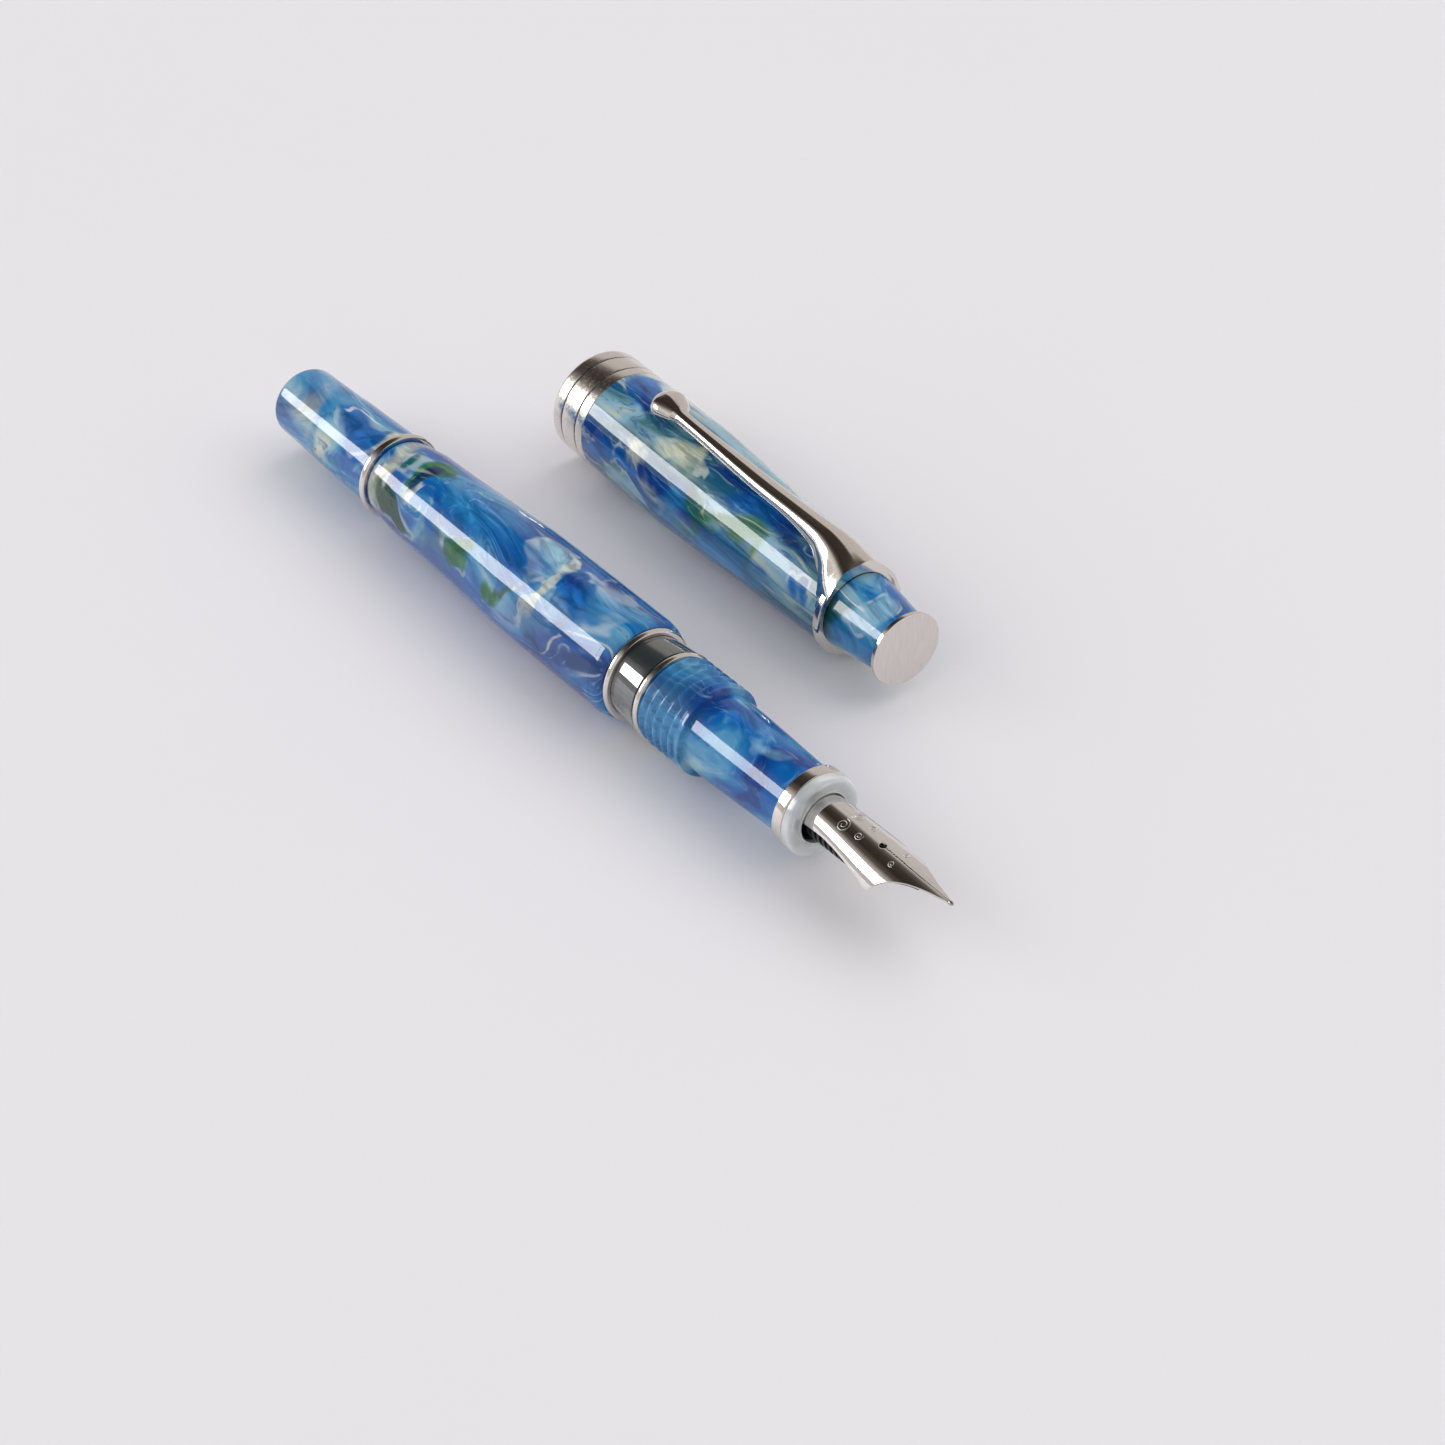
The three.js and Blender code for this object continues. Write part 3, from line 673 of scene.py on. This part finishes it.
finial_resin = resin(
    "finial_resin",
    CAP,
    5,
    PALE_TONES,
    [
        ((-2.4, 4.4, 0), (2.4, 2.0), STRONG_BLUE, 0.95, 0.35),
        ((-5.5, 4.8, 30), (2.2, 2.2), PALE_BLUE, 0.7, 0.4),
        ((-8, 5, 75), (1.6, 3), DARK_GREEN, 0.85, 0.5),
        ((-4, 4.7, 85), (3, 1.8), MID_BLUE, 0.8, 0.5),
    ],
    [(0.54, 0.02, WHITE, 0.8)],
)


# ---------------------------------------------------------------- pen: barrel, knob and rings
def barrel():
    """A hollow shell with a rounded heel, a belly and a rounded nose over the window's ring."""
    back, front, _ = extent("barrel", PEN)
    spigot_back, _, _ = extent("ink_window", PEN)
    spigot = skin("ink_window", PEN, spigot_back, front)[0][1] + FIT
    bore = extent("guide_sleeve", PEN)[2] + FIT
    nose_length, nose_drop = 1.9, 0.75
    heel_length, heel_drop = 1.3, 0.4
    outer = [p for p in skin("barrel", PEN) if p[0] < front - nose_length]
    heel = [
        (back + heel_length * (1 - math.cos(a)), outer[0][1] - heel_drop * (1 - math.sin(a)))
        for a in (math.radians(d) for d in range(0, 91, 15))
    ]
    nose_radius = outer[-1][1] - 0.02
    nose = [
        (front - nose_length * (1 - math.sin(a)), nose_radius - nose_drop * (1 - math.cos(a)))
        for a in (math.radians(d) for d in range(0, 91, 10))
    ]
    outline = [
        (back, bore),
        *heel,
        *smooth([p for p in outer if p[0] > back + heel_length + 0.3]),
        *nose,
        (front, spigot),
        (spigot_back - FIT, spigot),
        (spigot_back - FIT, bore),
    ]
    turned("barrel_shell", "barrel", PEN, outline, barrel_resin, "pen")


def knob():
    """The turning end: a tapered shell closed at the back, with its edge well rounded."""
    back, front, _ = extent("knob", PEN)
    edge_length, edge_round, edge_drop = 1.2, 0.9, 0.08
    outer = [p for p in skin("knob", PEN) if p[0] > back + edge_length]
    bore = extent("lead_screw", PEN)[2] + FIT
    bore_end = extent("lead_screw", PEN)[0] - FIT
    end_radius = outer[0][1]
    outline = rounded(
        [
            (back, 0),
            (back, end_radius - edge_drop, edge_round),
            *smooth(outer)[1:-1],
            (front, outer[-1][1], 0.15),
            (front, bore),
            (bore_end, bore),
            (bore_end, 0),
        ]
    )
    turned("knob_shell", "knob", PEN, outline, knob_resin, "knob")


def bead(name, node_name, bore, bulge, proud=0.0):
    """A trim ring with a rounded outer face that drops by the bulge at both edges."""
    back, front, radius = extent(node_name, PEN)
    radius += proud
    half, middle = (front - back) / 2, (front + back) / 2
    crown = [
        (middle - half * math.cos(a), radius - bulge * (1 - math.sin(a)))
        for a in (math.radians(d) for d in range(0, 181, 12))
    ]
    outline = [(back, bore), *crown, (front, bore)]
    turned(name, node_name, PEN, outline, nickel, "pen")


def rings():
    """The trim rings of pen and section, each on the spigot or collar inside it."""
    sleeve_spigot = skin("guide_sleeve", PEN)[0][1] + FIT
    window_spigot = skin("ink_window", PEN)[0][1] + FIT
    collar = extent("nib_collar", PEN)[2] + FIT
    bead("end_ring_bead", "barrel_end_ring", sleeve_spigot, 0.4, proud=0.12)
    bead("rear_ring_bead", "window_rear_ring", window_spigot, 0.35)
    bead("front_ring_bead", "window_front_ring", collar, 0.35)
    back, front, radius = extent("section_ring", PEN)
    outline = rounded([(back, collar), (back, radius, 0.12), (front, radius, 0.22), (front, collar)])
    turned("section_ring_band", "section_ring", PEN, outline, nickel, "pen")


def ink_window():
    """A clear tube and the spigot that it has in the barrel."""
    back, front, _ = extent("ink_window", PEN)
    outer = skin("ink_window", PEN, 0.5)
    spigot = skin("ink_window", PEN)[0][1]
    bore = 4.6
    outline = rounded(
        [
            (back, bore, 0.1),
            (back, spigot, 0.1),
            (outer[0][0], spigot),
            (outer[0][0], outer[0][1], 0.1),
            (front, outer[-1][1], 0.1),
            (front, bore),
        ]
    )
    turned("ink_window_shell", "ink_window", PEN, outline, window_clear, "pen")


# ---------------------------------------------------------------- pen: section, lip, feed and nib
THREAD_PITCH = 1.46
THREAD_DEPTH = 0.55
THREAD_TURNS = 4.9
THREAD_START = 0.35
RUN_IN, RUN_OUT = 0.5, 0.8  # the lengths over which the thread rises and fades


def section():
    """The cap's threads, a shoulder with a small step down, and the tapered grip."""
    back, front, _ = extent("section", PEN)
    collar = extent("nib_collar", PEN)[2] + FIT
    crest_radius = extent("section", PEN)[2] + 0.05
    thread_end = back + THREAD_START + THREAD_TURNS * THREAD_PITCH
    shoulder_end = thread_end + 0.45
    step = 0.8  # length of the step down from the shoulder to the grip
    grip = [p for p in skin("section", PEN) if p[0] > shoulder_end + step + 0.2]

    def thread(s, r, angle):
        """A single-start thread with wide round crests and narrow grooves, fading at both ends."""
        if s > thread_end or r < collar + 0.3:
            return r
        phase = (s - back) / THREAD_PITCH - angle / (2 * math.pi)
        crest = (0.5 - 0.5 * math.cos(2 * math.pi * phase)) ** 0.7
        run_in = min(1, max(0, (s - back) / RUN_IN))
        run_out = min(1, max(0, (thread_end - s) / RUN_OUT))
        return r - THREAD_DEPTH * (1 - crest * run_in) * run_out

    steps = 110
    threaded = [(back + (thread_end - back) * i / steps, crest_radius) for i in range(steps + 1)]
    grip_radius = grip[0][1] + 0.04
    shoulder = rounded(
        [
            (thread_end, crest_radius),
            (shoulder_end, crest_radius, 0.12),
            (shoulder_end + 0.18, grip_radius, 0.06),
            (shoulder_end + step, grip_radius),
        ]
    )
    outline = [
        (back, collar),
        *threaded,
        *shoulder[1:],
        *smooth(grip)[:-1],
        (front, grip[-1][1]),
        (front, collar),
    ]
    turned("section_grip", "section", PEN, outline, section_resin, "pen", thread)


def section_lip():
    """A fat rounded nose whose face slopes in to a thin rim round the hole."""
    back, front, radius = extent("section_lip", PEN)
    hole = min(math.hypot(p.y, p.z) for p in local_points("section_lip", PEN)) + 0.02
    outline = rounded(
        [
            (back, hole + 0.45),
            (back, radius, 0.1),
            (front - 0.02, radius - 0.04, 0.8),
            (front - 0.42, hole + 0.28, 0.12),
            (front - 0.2, hole + 0.2, 0.05),
            (front - 0.2, hole, 0.1),
            (back + 0.45, hole),
        ],
        8,
    )
    turned("section_lip_nose", "section_lip", PEN, outline, lip_milky, "pen")


def feed():
    """A finned tongue: a comb of thin round fins on a core, and a smooth tip that runs under the nib."""
    back, tip, radius = extent("feed", PEN)
    mouth = extent("section_lip", PEN)[1]
    core = radius * 0.78
    fins, pitch, thickness = 9, 0.9, 0.42
    comb_end = mouth + fins * pitch
    top = curve((back, radius), (mouth, radius), (comb_end, 2.1), (tip - 3, 1.75), (tip, 1.45))
    bottom = curve(
        (back, -radius),
        (mouth + 2, -radius),
        (comb_end - 1, -radius * 0.86),
        (comb_end + 2, -0.9),
        (tip - 2, 0.75),
        (tip, 1.2),
    )

    def section_loop(s, half):
        """An oval as wide as half on each side. Between the fins it is lower too."""
        low, high = bottom(s), top(s)
        middle, rise = (low + high) / 2, (high - low) / 2
        width = min(half, 0.35 + 2.2 * rise)
        squeeze = core / radius if half < radius and s < comb_end else 1
        count = 28
        loop = []
        for i in range(count):
            a = 2 * math.pi * i / count
            loop.append(PEN @ Vector((s, width * math.sin(a), squeeze * (middle + rise * math.cos(a)))))
        return loop

    stations = [(back, core), (mouth - 0.4, core)]
    for i in range(fins):
        start = mouth - 0.3 + i * pitch
        stations += [(start, core), (start + 0.01, radius)]
        stations += [(start + thickness, radius), (start + thickness + 0.01, core)]
    stations += [(comb_end + (tip - comb_end) * i / 8, core) for i in range(9)]

    points, faces = lofted([section_loop(s, half) for s, half in stations])
    made = piece("feed_comb", points, faces, black_plastic)
    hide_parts("feed")
    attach(made, "pen")


NIB_THICKNESS = 0.3
SLIT = 0.05  # half of the slit's width
BREATHER_STATION, BREATHER_RADIUS = 43.9, 0.45


def nib_shape():
    """The nib's stations (back end, section's mouth, shoulder, tip), then its half-width, the height
    of its crest and the radius of its cross-section, as functions of the station."""
    back, tip, _ = extent("nib", PEN)
    mouth = extent("section_lip", PEN)[1]
    shoulder = tip - 9.1
    points = local_points("nib", PEN)
    body_crest = max(p.z for p in points)
    tip_crest = max(p.z for p in points if p.x > tip - 0.05)
    half = curve(
        (back, 2.98),
        (mouth, 2.98),
        (mouth + 4.5, 3.12),
        (shoulder - 2.5, 3.62),
        (shoulder - 0.4, 3.92),
        (shoulder + 0.6, 3.7),
        (shoulder + 2.0, 2.78),
        (shoulder + 4.0, 1.72),
        (tip - 2.6, 0.86),
        (tip, 0.24),
    )
    crest = curve((back, body_crest), (mouth, body_crest), (shoulder, body_crest - 0.38), (tip, tip_crest))
    bend = curve((back, 3.08), (mouth, 3.08), (shoulder, 4.05), (tip, 4.4))
    return back, mouth, shoulder, tip, half, crest, bend


def on_nib(x, y, crest, bend):
    """The point on the nib's upper face at a station and a distance sideways."""
    r = bend(x)
    return Vector((x, y, crest(x) - r + math.sqrt(max(r * r - y * y, 0))))


def nib():
    """A curved sheet in two halves that part at the breather hole and stay apart along the slit."""
    back, mouth, _, tip, half, crest, bend = nib_shape()
    hole_start = BREATHER_STATION - BREATHER_RADIUS
    hole_end = BREATHER_STATION + BREATHER_RADIUS
    hidden, body, tines = 4, 24, 46  # stations along each part of the nib
    stations = [back + (mouth - back) * i / hidden for i in range(hidden)]
    stations += [mouth + (hole_start - mouth) * i / body for i in range(body)]
    stations += [BREATHER_STATION - BREATHER_RADIUS * math.cos(math.radians(a)) for a in range(0, 181, 12)]
    stations += [hole_end + (tip - hole_end) * (i / tines) for i in range(1, tines + 1)]

    def inner_edge(x):
        """The half-width of the gap between the halves: none, the breather hole, then the slit."""
        if x <= hole_start + NEAR:
            return 0.0
        inside = BREATHER_RADIUS**2 - (x - BREATHER_STATION) ** 2
        return max(SLIT, math.sqrt(max(inside, 0)))

    points, faces = [], []
    index = {}  # the point's number by station, step sideways and side
    for k, x in enumerate(stations):
        inner, outer = inner_edge(x), half(x)
        for side in (1, -1):
            for i in range(BLADE_STEPS + 1):
                if side < 0 and i == 0 and inner == 0:
                    index[k, i, side] = index[k, i, 1]
                    continue
                index[k, i, side] = len(points)
                y = side * (inner + (outer - inner) * i / BLADE_STEPS)
                points.append(PEN @ on_nib(x, y, crest, bend))
    for k in range(len(stations) - 1):
        for side in (1, -1):
            for i in range(BLADE_STEPS):
                corners = ((k, i), (k + 1, i), (k + 1, i + 1), (k, i + 1))
                quad = [index[station, step, side] for station, step in corners]
                faces.append(quad if side > 0 else quad[::-1])
    made = piece("nib_blade", points, faces, nib_steel)
    thicken = made.modifiers.new("thickness", "SOLIDIFY")
    thicken.thickness = NIB_THICKNESS * MM
    thicken.offset = -1
    soften = made.modifiers.new("edges", "BEVEL")
    soften.width = 0.05 * MM
    soften.segments = 2
    soften.limit_method = "ANGLE"
    soften.angle_limit = math.radians(50)
    bake_modifiers(made)
    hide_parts("nib")
    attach(made, "pen")


def nib_engraving():
    """Fine raised lines on the nib: a border along each side and three mirrored pairs of scrolls."""
    _, mouth, shoulder, _, half, crest, bend = nib_shape()
    line = bpy.data.curves.new("nib_engraving", "CURVE")
    line.dimensions = "3D"
    line.bevel_depth = 0.045 * MM
    line.bevel_resolution = 2

    def draw(places):
        """One line through (station, sideways) places on the nib's surface."""
        spline = line.splines.new("POLY")
        spline.points.add(len(places) - 1)
        for point, (x, y) in zip(spline.points, places):
            point.co = (*(PEN @ on_nib(x, y, crest, bend)), 1)

    def scroll(x, y, radius, turns, side):
        """A spiral that opens outwards, with its middle at (x, y)."""
        count = 40
        places = []
        for i in range(count + 1):
            share = i / count
            a = 2 * math.pi * turns * share
            reach = radius * (0.2 + 0.8 * share)
            places.append((x - reach * math.cos(a), side * (y + reach * math.sin(a))))
        return places

    border_start, border_end, border_inset = mouth + 2.2, shoulder - 1.6, 0.55
    border = [border_start + (border_end - border_start) * i / 24 for i in range(25)]
    for side in (1, -1):
        draw([(x, side * (half(x) - border_inset)) for x in border])
        draw(scroll(mouth + 4.4, 1.15, 0.85, 1.8, side))
        draw(scroll(mouth + 6.9, 1.0, 0.55, 1.6, side))
        draw(scroll(shoulder + 0.9, 1.05, 0.42, 1.4, side))
    line.materials.append(engraved_steel)
    made = bpy.data.objects.new("nib_engraving", line)
    bpy.context.scene.collection.objects.link(made)
    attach(made, "pen")


def bake_modifiers(made):
    """Keeps the result of a piece's modifiers as its own mesh."""
    evaluated = made.evaluated_get(bpy.context.evaluated_depsgraph_get())
    final = bpy.data.meshes.new_from_object(evaluated)
    made.modifiers.clear()
    made.data = final
    final.set_sharp_from_angle(angle=SHARP)


def nib_tipping():
    """The small worn ball at the nib's point."""
    _, _, _, tip, _, crest, _ = nib_shape()
    radius, overlap, sink = 0.27, 0.1, 0.12
    length = extent("nib_tipping", PEN)[1] - tip + overlap
    steps = 12
    ball = [
        (tip - overlap + length * (1 - math.cos(a)) / 2, radius * math.sin(a))
        for a in (math.pi * i / steps for i in range(steps + 1))
    ]
    axis = PEN @ Matrix.Translation((0, 0, crest(tip) - sink))
    turned("nib_point_ball", "nib_tipping", axis, ball, nib_point, "pen")


# ---------------------------------------------------------------- cap
def cap_tube():
    """A hollow tube with a spigot for the bands, and stepped bores for the pen and the inner cap."""
    mouth, front, _ = extent("cap_tube", CAP)
    step = extent("cap_rear_band", CAP)[1] + FIT
    spigot = skin("cap_tube", CAP, mouth, step)[0][1]
    outer = skin("cap_tube", CAP, step + 0.5)
    outer = [(step, outer[0][1]), *outer]
    stud = extent("finial_stud", CAP)[2] + FIT
    liner_back, liner_front, liner_radius = extent("inner_cap", CAP)
    bore, mouth_bore, mouth_length = 5.95, 6.45, 6.4
    outline = rounded(
        [
            (mouth, mouth_bore, 0.2),
            (mouth, spigot),
            (step, spigot),
            (step, outer[0][1], 0.1),
            *smooth(outer[1:])[:-1],
            (front, outer[-1][1], 0.2),
            (front, stud),
            (liner_front + 0.1, stud),
            (liner_front + 0.1, liner_radius + FIT),
            (liner_back - 0.2, liner_radius + FIT),
            (liner_back - 0.2, bore),
            (mouth + mouth_length, bore, 0.3),
            (mouth + mouth_length, mouth_bore, 0.1),
        ]
    )
    turned("cap_shell", "cap_tube", CAP, outline, cap_resin, "cap")


def cap_bands():
    """Three pressed bands with dark grooves between them."""
    bore = skin("cap_tube", CAP, end=extent("cap_rear_band", CAP)[1])[0][1] + FIT
    edge, mouth_edge = 0.12, 0.6
    back_edges = {"cap_rear_band": edge, "cap_centre_band": edge, "cap_mouth_band": mouth_edge}
    for name, back_edge in back_edges.items():
        back, front, radius = extent(name, CAP)
        outline = rounded([(back, bore), (back, radius, back_edge), (front, radius, edge), (front, bore)])
        turned(name + "_ring", name, CAP, outline, satin_nickel, "cap")


def finial():
    """A waisted cone on the stud."""
    back, front, _ = extent("finial", CAP)
    outer = skin("finial", CAP)
    stud_front = extent("finial_stud", CAP)[1] + FIT
    stud = extent("finial_stud", CAP)[2] + FIT
    outline = rounded(
        [
            (back, stud),
            (back, outer[0][1], 0.15),
            *smooth(outer)[1:-1],
            (front, outer[-1][1], 0.1),
            (front, 0),
            (stud_front, 0),
            (stud_front, stud),
        ]
    )
    turned("finial_cone", "finial", CAP, outline, finial_resin, "cap")


def finial_disc():
    """A brushed face in a thin polished edge."""
    back, front, radius = extent("finial_disc", CAP)
    outline = rounded([(back, 0), (back, radius, 0.05), (front, radius, 0.08), (front, 0)])
    made = turned("finial_disc_plate", "finial_disc", CAP, outline, brushed_nickel, "cap")
    made.data.materials.append(nickel)
    polished_from = radius * 0.97
    for face in made.data.polygons:
        centre = CAP.inverted() @ face.center
        face.material_index = int(math.hypot(centre.y, centre.z) > polished_from)


# ---------------------------------------------------------------- clip
def clip():
    """One casting: a ring, a hooded root that rises from it, a tapering arm and a teardrop end. It is
    skinned over half sections, each a run of (sideways, up) points from the crest to the lower edge."""
    ring_back, ring_front, _ = extent("clip_ring", CLIP)
    ring_radius = max(math.hypot(p.y, p.z) for p in local_points("clip_ring", CLIP) if p.z < 0)
    end = extent("clip_arm", CLIP)[0]
    ball_top = max(p.z for p in local_points("clip_arm", CLIP))
    front = ring_front + 0.35
    ball = end + 2.45
    neck = end + 6.6
    hood_under = ((-30, 8.0), (-22, 7.9), (-16.5, 7.3), (-12.2, 6.6), (ring_back, 5.75))
    under_crest = curve((end, 8.7), (ball, 8.3), (neck, 8.3), *hood_under)
    sections = {
        front: [(0, 7.05), (1.9, 6.95), (3.4, 5.75), (5.0, 3.6), (ring_radius, 0)],
        ring_back: [(0, 8.0), (1.7, 7.65), (2.9, 6.6), (4.4, 4.6), (ring_radius - 0.02, 0.5)],
        -12.2: [(0, 8.85), (1.5, 8.5), (2.6, 7.5), (3.3, 6.4), (3.9, 5.3)],
        -14.2: [(0, 9.4), (1.2, 9.1), (2.1, 8.3), (2.55, 7.4), (2.8, 6.5)],
        -16.5: [(0, 9.5), (1.05, 9.25), (1.7, 8.6), (1.95, 8.0), (2.0, 7.4)],
        -22: [(0, 9.4), (0.85, 9.2), (1.35, 8.8), (1.5, 8.4), (1.5, 8.0)],
        -30: [(0, 9.3), (0.8, 9.12), (1.22, 8.78), (1.38, 8.42), (1.38, 8.1)],
        neck: [(0, 9.6), (0.55, 9.46), (0.85, 9.18), (0.98, 8.85), (0.98, 8.5)],
        ball + 2.4: [(0, 10.1), (0.75, 9.95), (1.3, 9.6), (1.6, 9.25), (1.62, 8.9)],
        ball: [(0, ball_top), (1.1, ball_top - 0.2), (1.95, 10.15), (2.4, 9.55), (2.45, 9.1)],
        end + 0.75: [(0, 10.35), (0.85, 10.2), (1.45, 9.85), (1.8, 9.45), (1.85, 9.1)],
        end: [(0, 9.4), (0.12, 9.35), (0.2, 9.25), (0.25, 9.15), (0.25, 9.05)],
    }
    count = len(sections[front])
    paths = [[curve(*((s, sections[s][i][k]) for s in sections)) for k in range(2)] for i in range(count)]

    def under(s, u):
        """The underside is a round hollow, which ends as the arch of the hood's mouth."""
        return math.sqrt(max(under_crest(s) ** 2 - u**2, 0))

    def loop(s):
        corners = [(across(s), up(s)) for across, up in paths]
        edge_u, edge_h = corners[-1]
        rise = edge_h - under(s, edge_u)
        inner = []
        for i in range(1, INNER_STEPS + 1):
            t = 1 - i / INNER_STEPS
            inner.append((edge_u * t, under(s, edge_u * t) + rise * t**3))
        right = smooth(corners, 5) + inner
        left = [(-u, h) for u, h in reversed(right)][1:-1]
        return [CLIP @ Vector((s, u, h)) for u, h in right + left]

    hood_steps, arm_steps, ball_steps = 29, 24, 40
    hood_end = ring_back - 0.3 * hood_steps
    stations = [front, front - 0.01, front - 0.1, ring_front, ring_back]
    stations += [ring_back - 0.3 * i for i in range(1, hood_steps + 1)]
    stations += [hood_end - (hood_end - neck) * i / arm_steps for i in range(1, arm_steps + 1)]
    stations += [neck - (neck - end) * (1 - (1 - i / ball_steps) ** 1.5) for i in range(1, ball_steps + 1)]
    points, faces = lofted([loop(s) for s in stations])
    hole, edge = 2.3, 0.15
    rim = [(ring_back, ring_radius, edge), (ring_front, ring_radius, edge)]
    ring_outline = rounded([(ring_back, hole), *rim, (ring_front, hole)])
    ring_points, ring_faces = swept(CLIP, ring_outline)
    offset = len(points)
    points = points + ring_points
    faces = faces + [[i + offset for i in face] for face in ring_faces]
    made = piece("clip_casting", points, faces, nickel)
    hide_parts("clip_ring", "clip_arm")
    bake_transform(made)


# ---------------------------------------------------------------- carried-over CAD pieces
def finish_hidden_nodes():
    """The mechanism's pieces keep their CAD shapes and get their own materials."""
    finishes = {
        "guide_sleeve": white_plastic,
        "piston_rod": white_plastic,
        "piston_head": seal_rubber,
        "sleeve_seal": seal_rubber,
        "lead_screw": brass,
        "nib_collar": black_plastic,
        "inner_cap": black_plastic,
        "finial_stud": brass,
    }
    for name, material in finishes.items():
        for used in frame["nodes"][name].material_slots:
            used.material = material


# ---------------------------------------------------------------- floor, light and camera
def floor():
    """A pale paper sweep."""
    size = 4.0
    mesh = bpy.data.meshes.new("floor")
    corners = [(x * size, y * size, 0) for x, y in ((-1, -1), (1, -1), (1, 1), (-1, 1))]
    mesh.from_pydata(corners, [], [(0, 1, 2, 3)])
    material, tree = new_material("paper")
    mottle = noise(tree, place_in_mm(tree), 0.01, 3.0).outputs["Fac"]
    tone = mix(tree, mottle, (0.75, 0.745, 0.79), (0.77, 0.765, 0.81))
    surface(tree, {"Base Color": tone, "Roughness": 0.7})
    mesh.materials.append(material)
    made = bpy.data.objects.new("floor", mesh)
    bpy.context.scene.collection.objects.link(made)


def area_light(name, target, direction, distance, size, radiance, colour):
    """A rectangular light that faces the target from a direction, with its long side along x."""
    light = bpy.data.lights.new(name, "AREA")
    light.shape = "RECTANGLE"
    light.size, light.size_y = size
    light.energy = radiance * math.pi * size[0] * size[1]
    light.color = colour
    made = bpy.data.objects.new(name, light)
    facing = Vector(direction).normalized()
    long_axis = Vector((1, 0, 0))
    x = (long_axis - facing * long_axis.dot(facing)).normalized()
    turn = Matrix((x, facing.cross(x), facing)).transposed().to_4x4()
    made.matrix_world = Matrix.Translation(target + facing * distance) @ turn
    bpy.context.scene.collection.objects.link(made)
    return made


def lights():
    """A narrow softbox that shows in the gloss, and wide soft light that does not."""
    lo, hi = cad_box
    middle = (lo + hi) / 2
    warm, white, cool = (1, 0.985, 0.96), (1, 1, 1), (0.97, 0.98, 1)
    behind_pen = middle + Vector((-0.46, 0, 0))
    strip = area_light("strip", behind_pen, (0, -0.881, 0.473), 0.43, (0.54, 0.21), 8.5, warm)
    strip.visible_diffuse = False
    overhead = area_light("overhead", middle, (0, 0, 1), 1.6, (5.0, 5.0), 0.60, white)
    key = area_light("key", middle, (0.2, 0.62, 0.9), 1.2, (1.8, 1.2), 0.75, warm)
    fill = area_light("fill", middle, (-0.35, -0.85, 0.4), 1.3, (2.0, 1.2), 0.7, cool)
    for soft in (overhead, key, fill):
        soft.visible_glossy = False


def studio():
    """The room that the metal reflects: warm grey walls, with a dark ceiling above the strip light.
    Its colours run from one horizon over the top to the other, round the x axis."""
    world = bpy.data.worlds.new("studio")
    bpy.context.scene.world = world
    world.use_nodes = True
    tree = world.node_tree
    tree.nodes.clear()
    place = node(tree, "SeparateXYZ", {0: node(tree, "TexCoord").outputs["Generated"]})
    away = calculate(tree, "MULTIPLY", place.outputs["Y"], -1.0)
    turn = calculate(tree, "ARCTAN2", place.outputs["Z"], away)
    share = calculate(tree, "DIVIDE", turn, math.pi)
    wall = (0.64, 0.61, 0.60)
    stops = [
        (0.0, wall),
        (0.06, (0.52, 0.50, 0.49)),
        (0.20, (0.80, 0.78, 0.75)),
        (0.26, (0.60, 0.57, 0.54)),
        (0.35, (0.11, 0.092, 0.08)),
        (0.44, (0.035, 0.028, 0.024)),
        (0.56, (0.05, 0.042, 0.036)),
        (0.64, (0.13, 0.11, 0.095)),
        (0.70, (0.60, 0.56, 0.53)),
        (1.0, wall),
    ]
    background = node(tree, "Background", {"Color": ramp(tree, share, stops), "Strength": 1.0})
    node(tree, "OutputWorld", {"Surface": background.outputs[0]})


def camera():
    """Looks down from beyond the nib, at a point beside the section and just above the floor."""
    azimuth, elevation = math.radians(52.35), math.radians(38.1)
    aim = PEN @ Vector((8.6, 5.2, -4.62))
    distance = 0.3443
    level = math.cos(elevation)
    back = Vector((math.sin(azimuth) * level, -math.cos(azimuth) * level, math.sin(elevation)))
    data = bpy.data.cameras.new("camera")
    data.sensor_width = 36.0
    data.lens = 72.25
    data.clip_start, data.clip_end = 0.01, 20
    made = bpy.data.objects.new("camera", data)
    made.location = aim + back * distance
    made.rotation_mode = "QUATERNION"
    made.rotation_quaternion = (-back).to_track_quat("-Z", "Y")
    bpy.context.scene.collection.objects.link(made)
    bpy.context.scene.camera = made


barrel()
knob()
rings()
ink_window()
section()
section_lip()
feed()
nib()
nib_engraving()
nib_tipping()
cap_tube()
cap_bands()
finial()
finial_disc()
clip()
finish_hidden_nodes()
floor()
lights()
studio()
camera()
bpy.context.scene.view_settings.view_transform = "Standard"
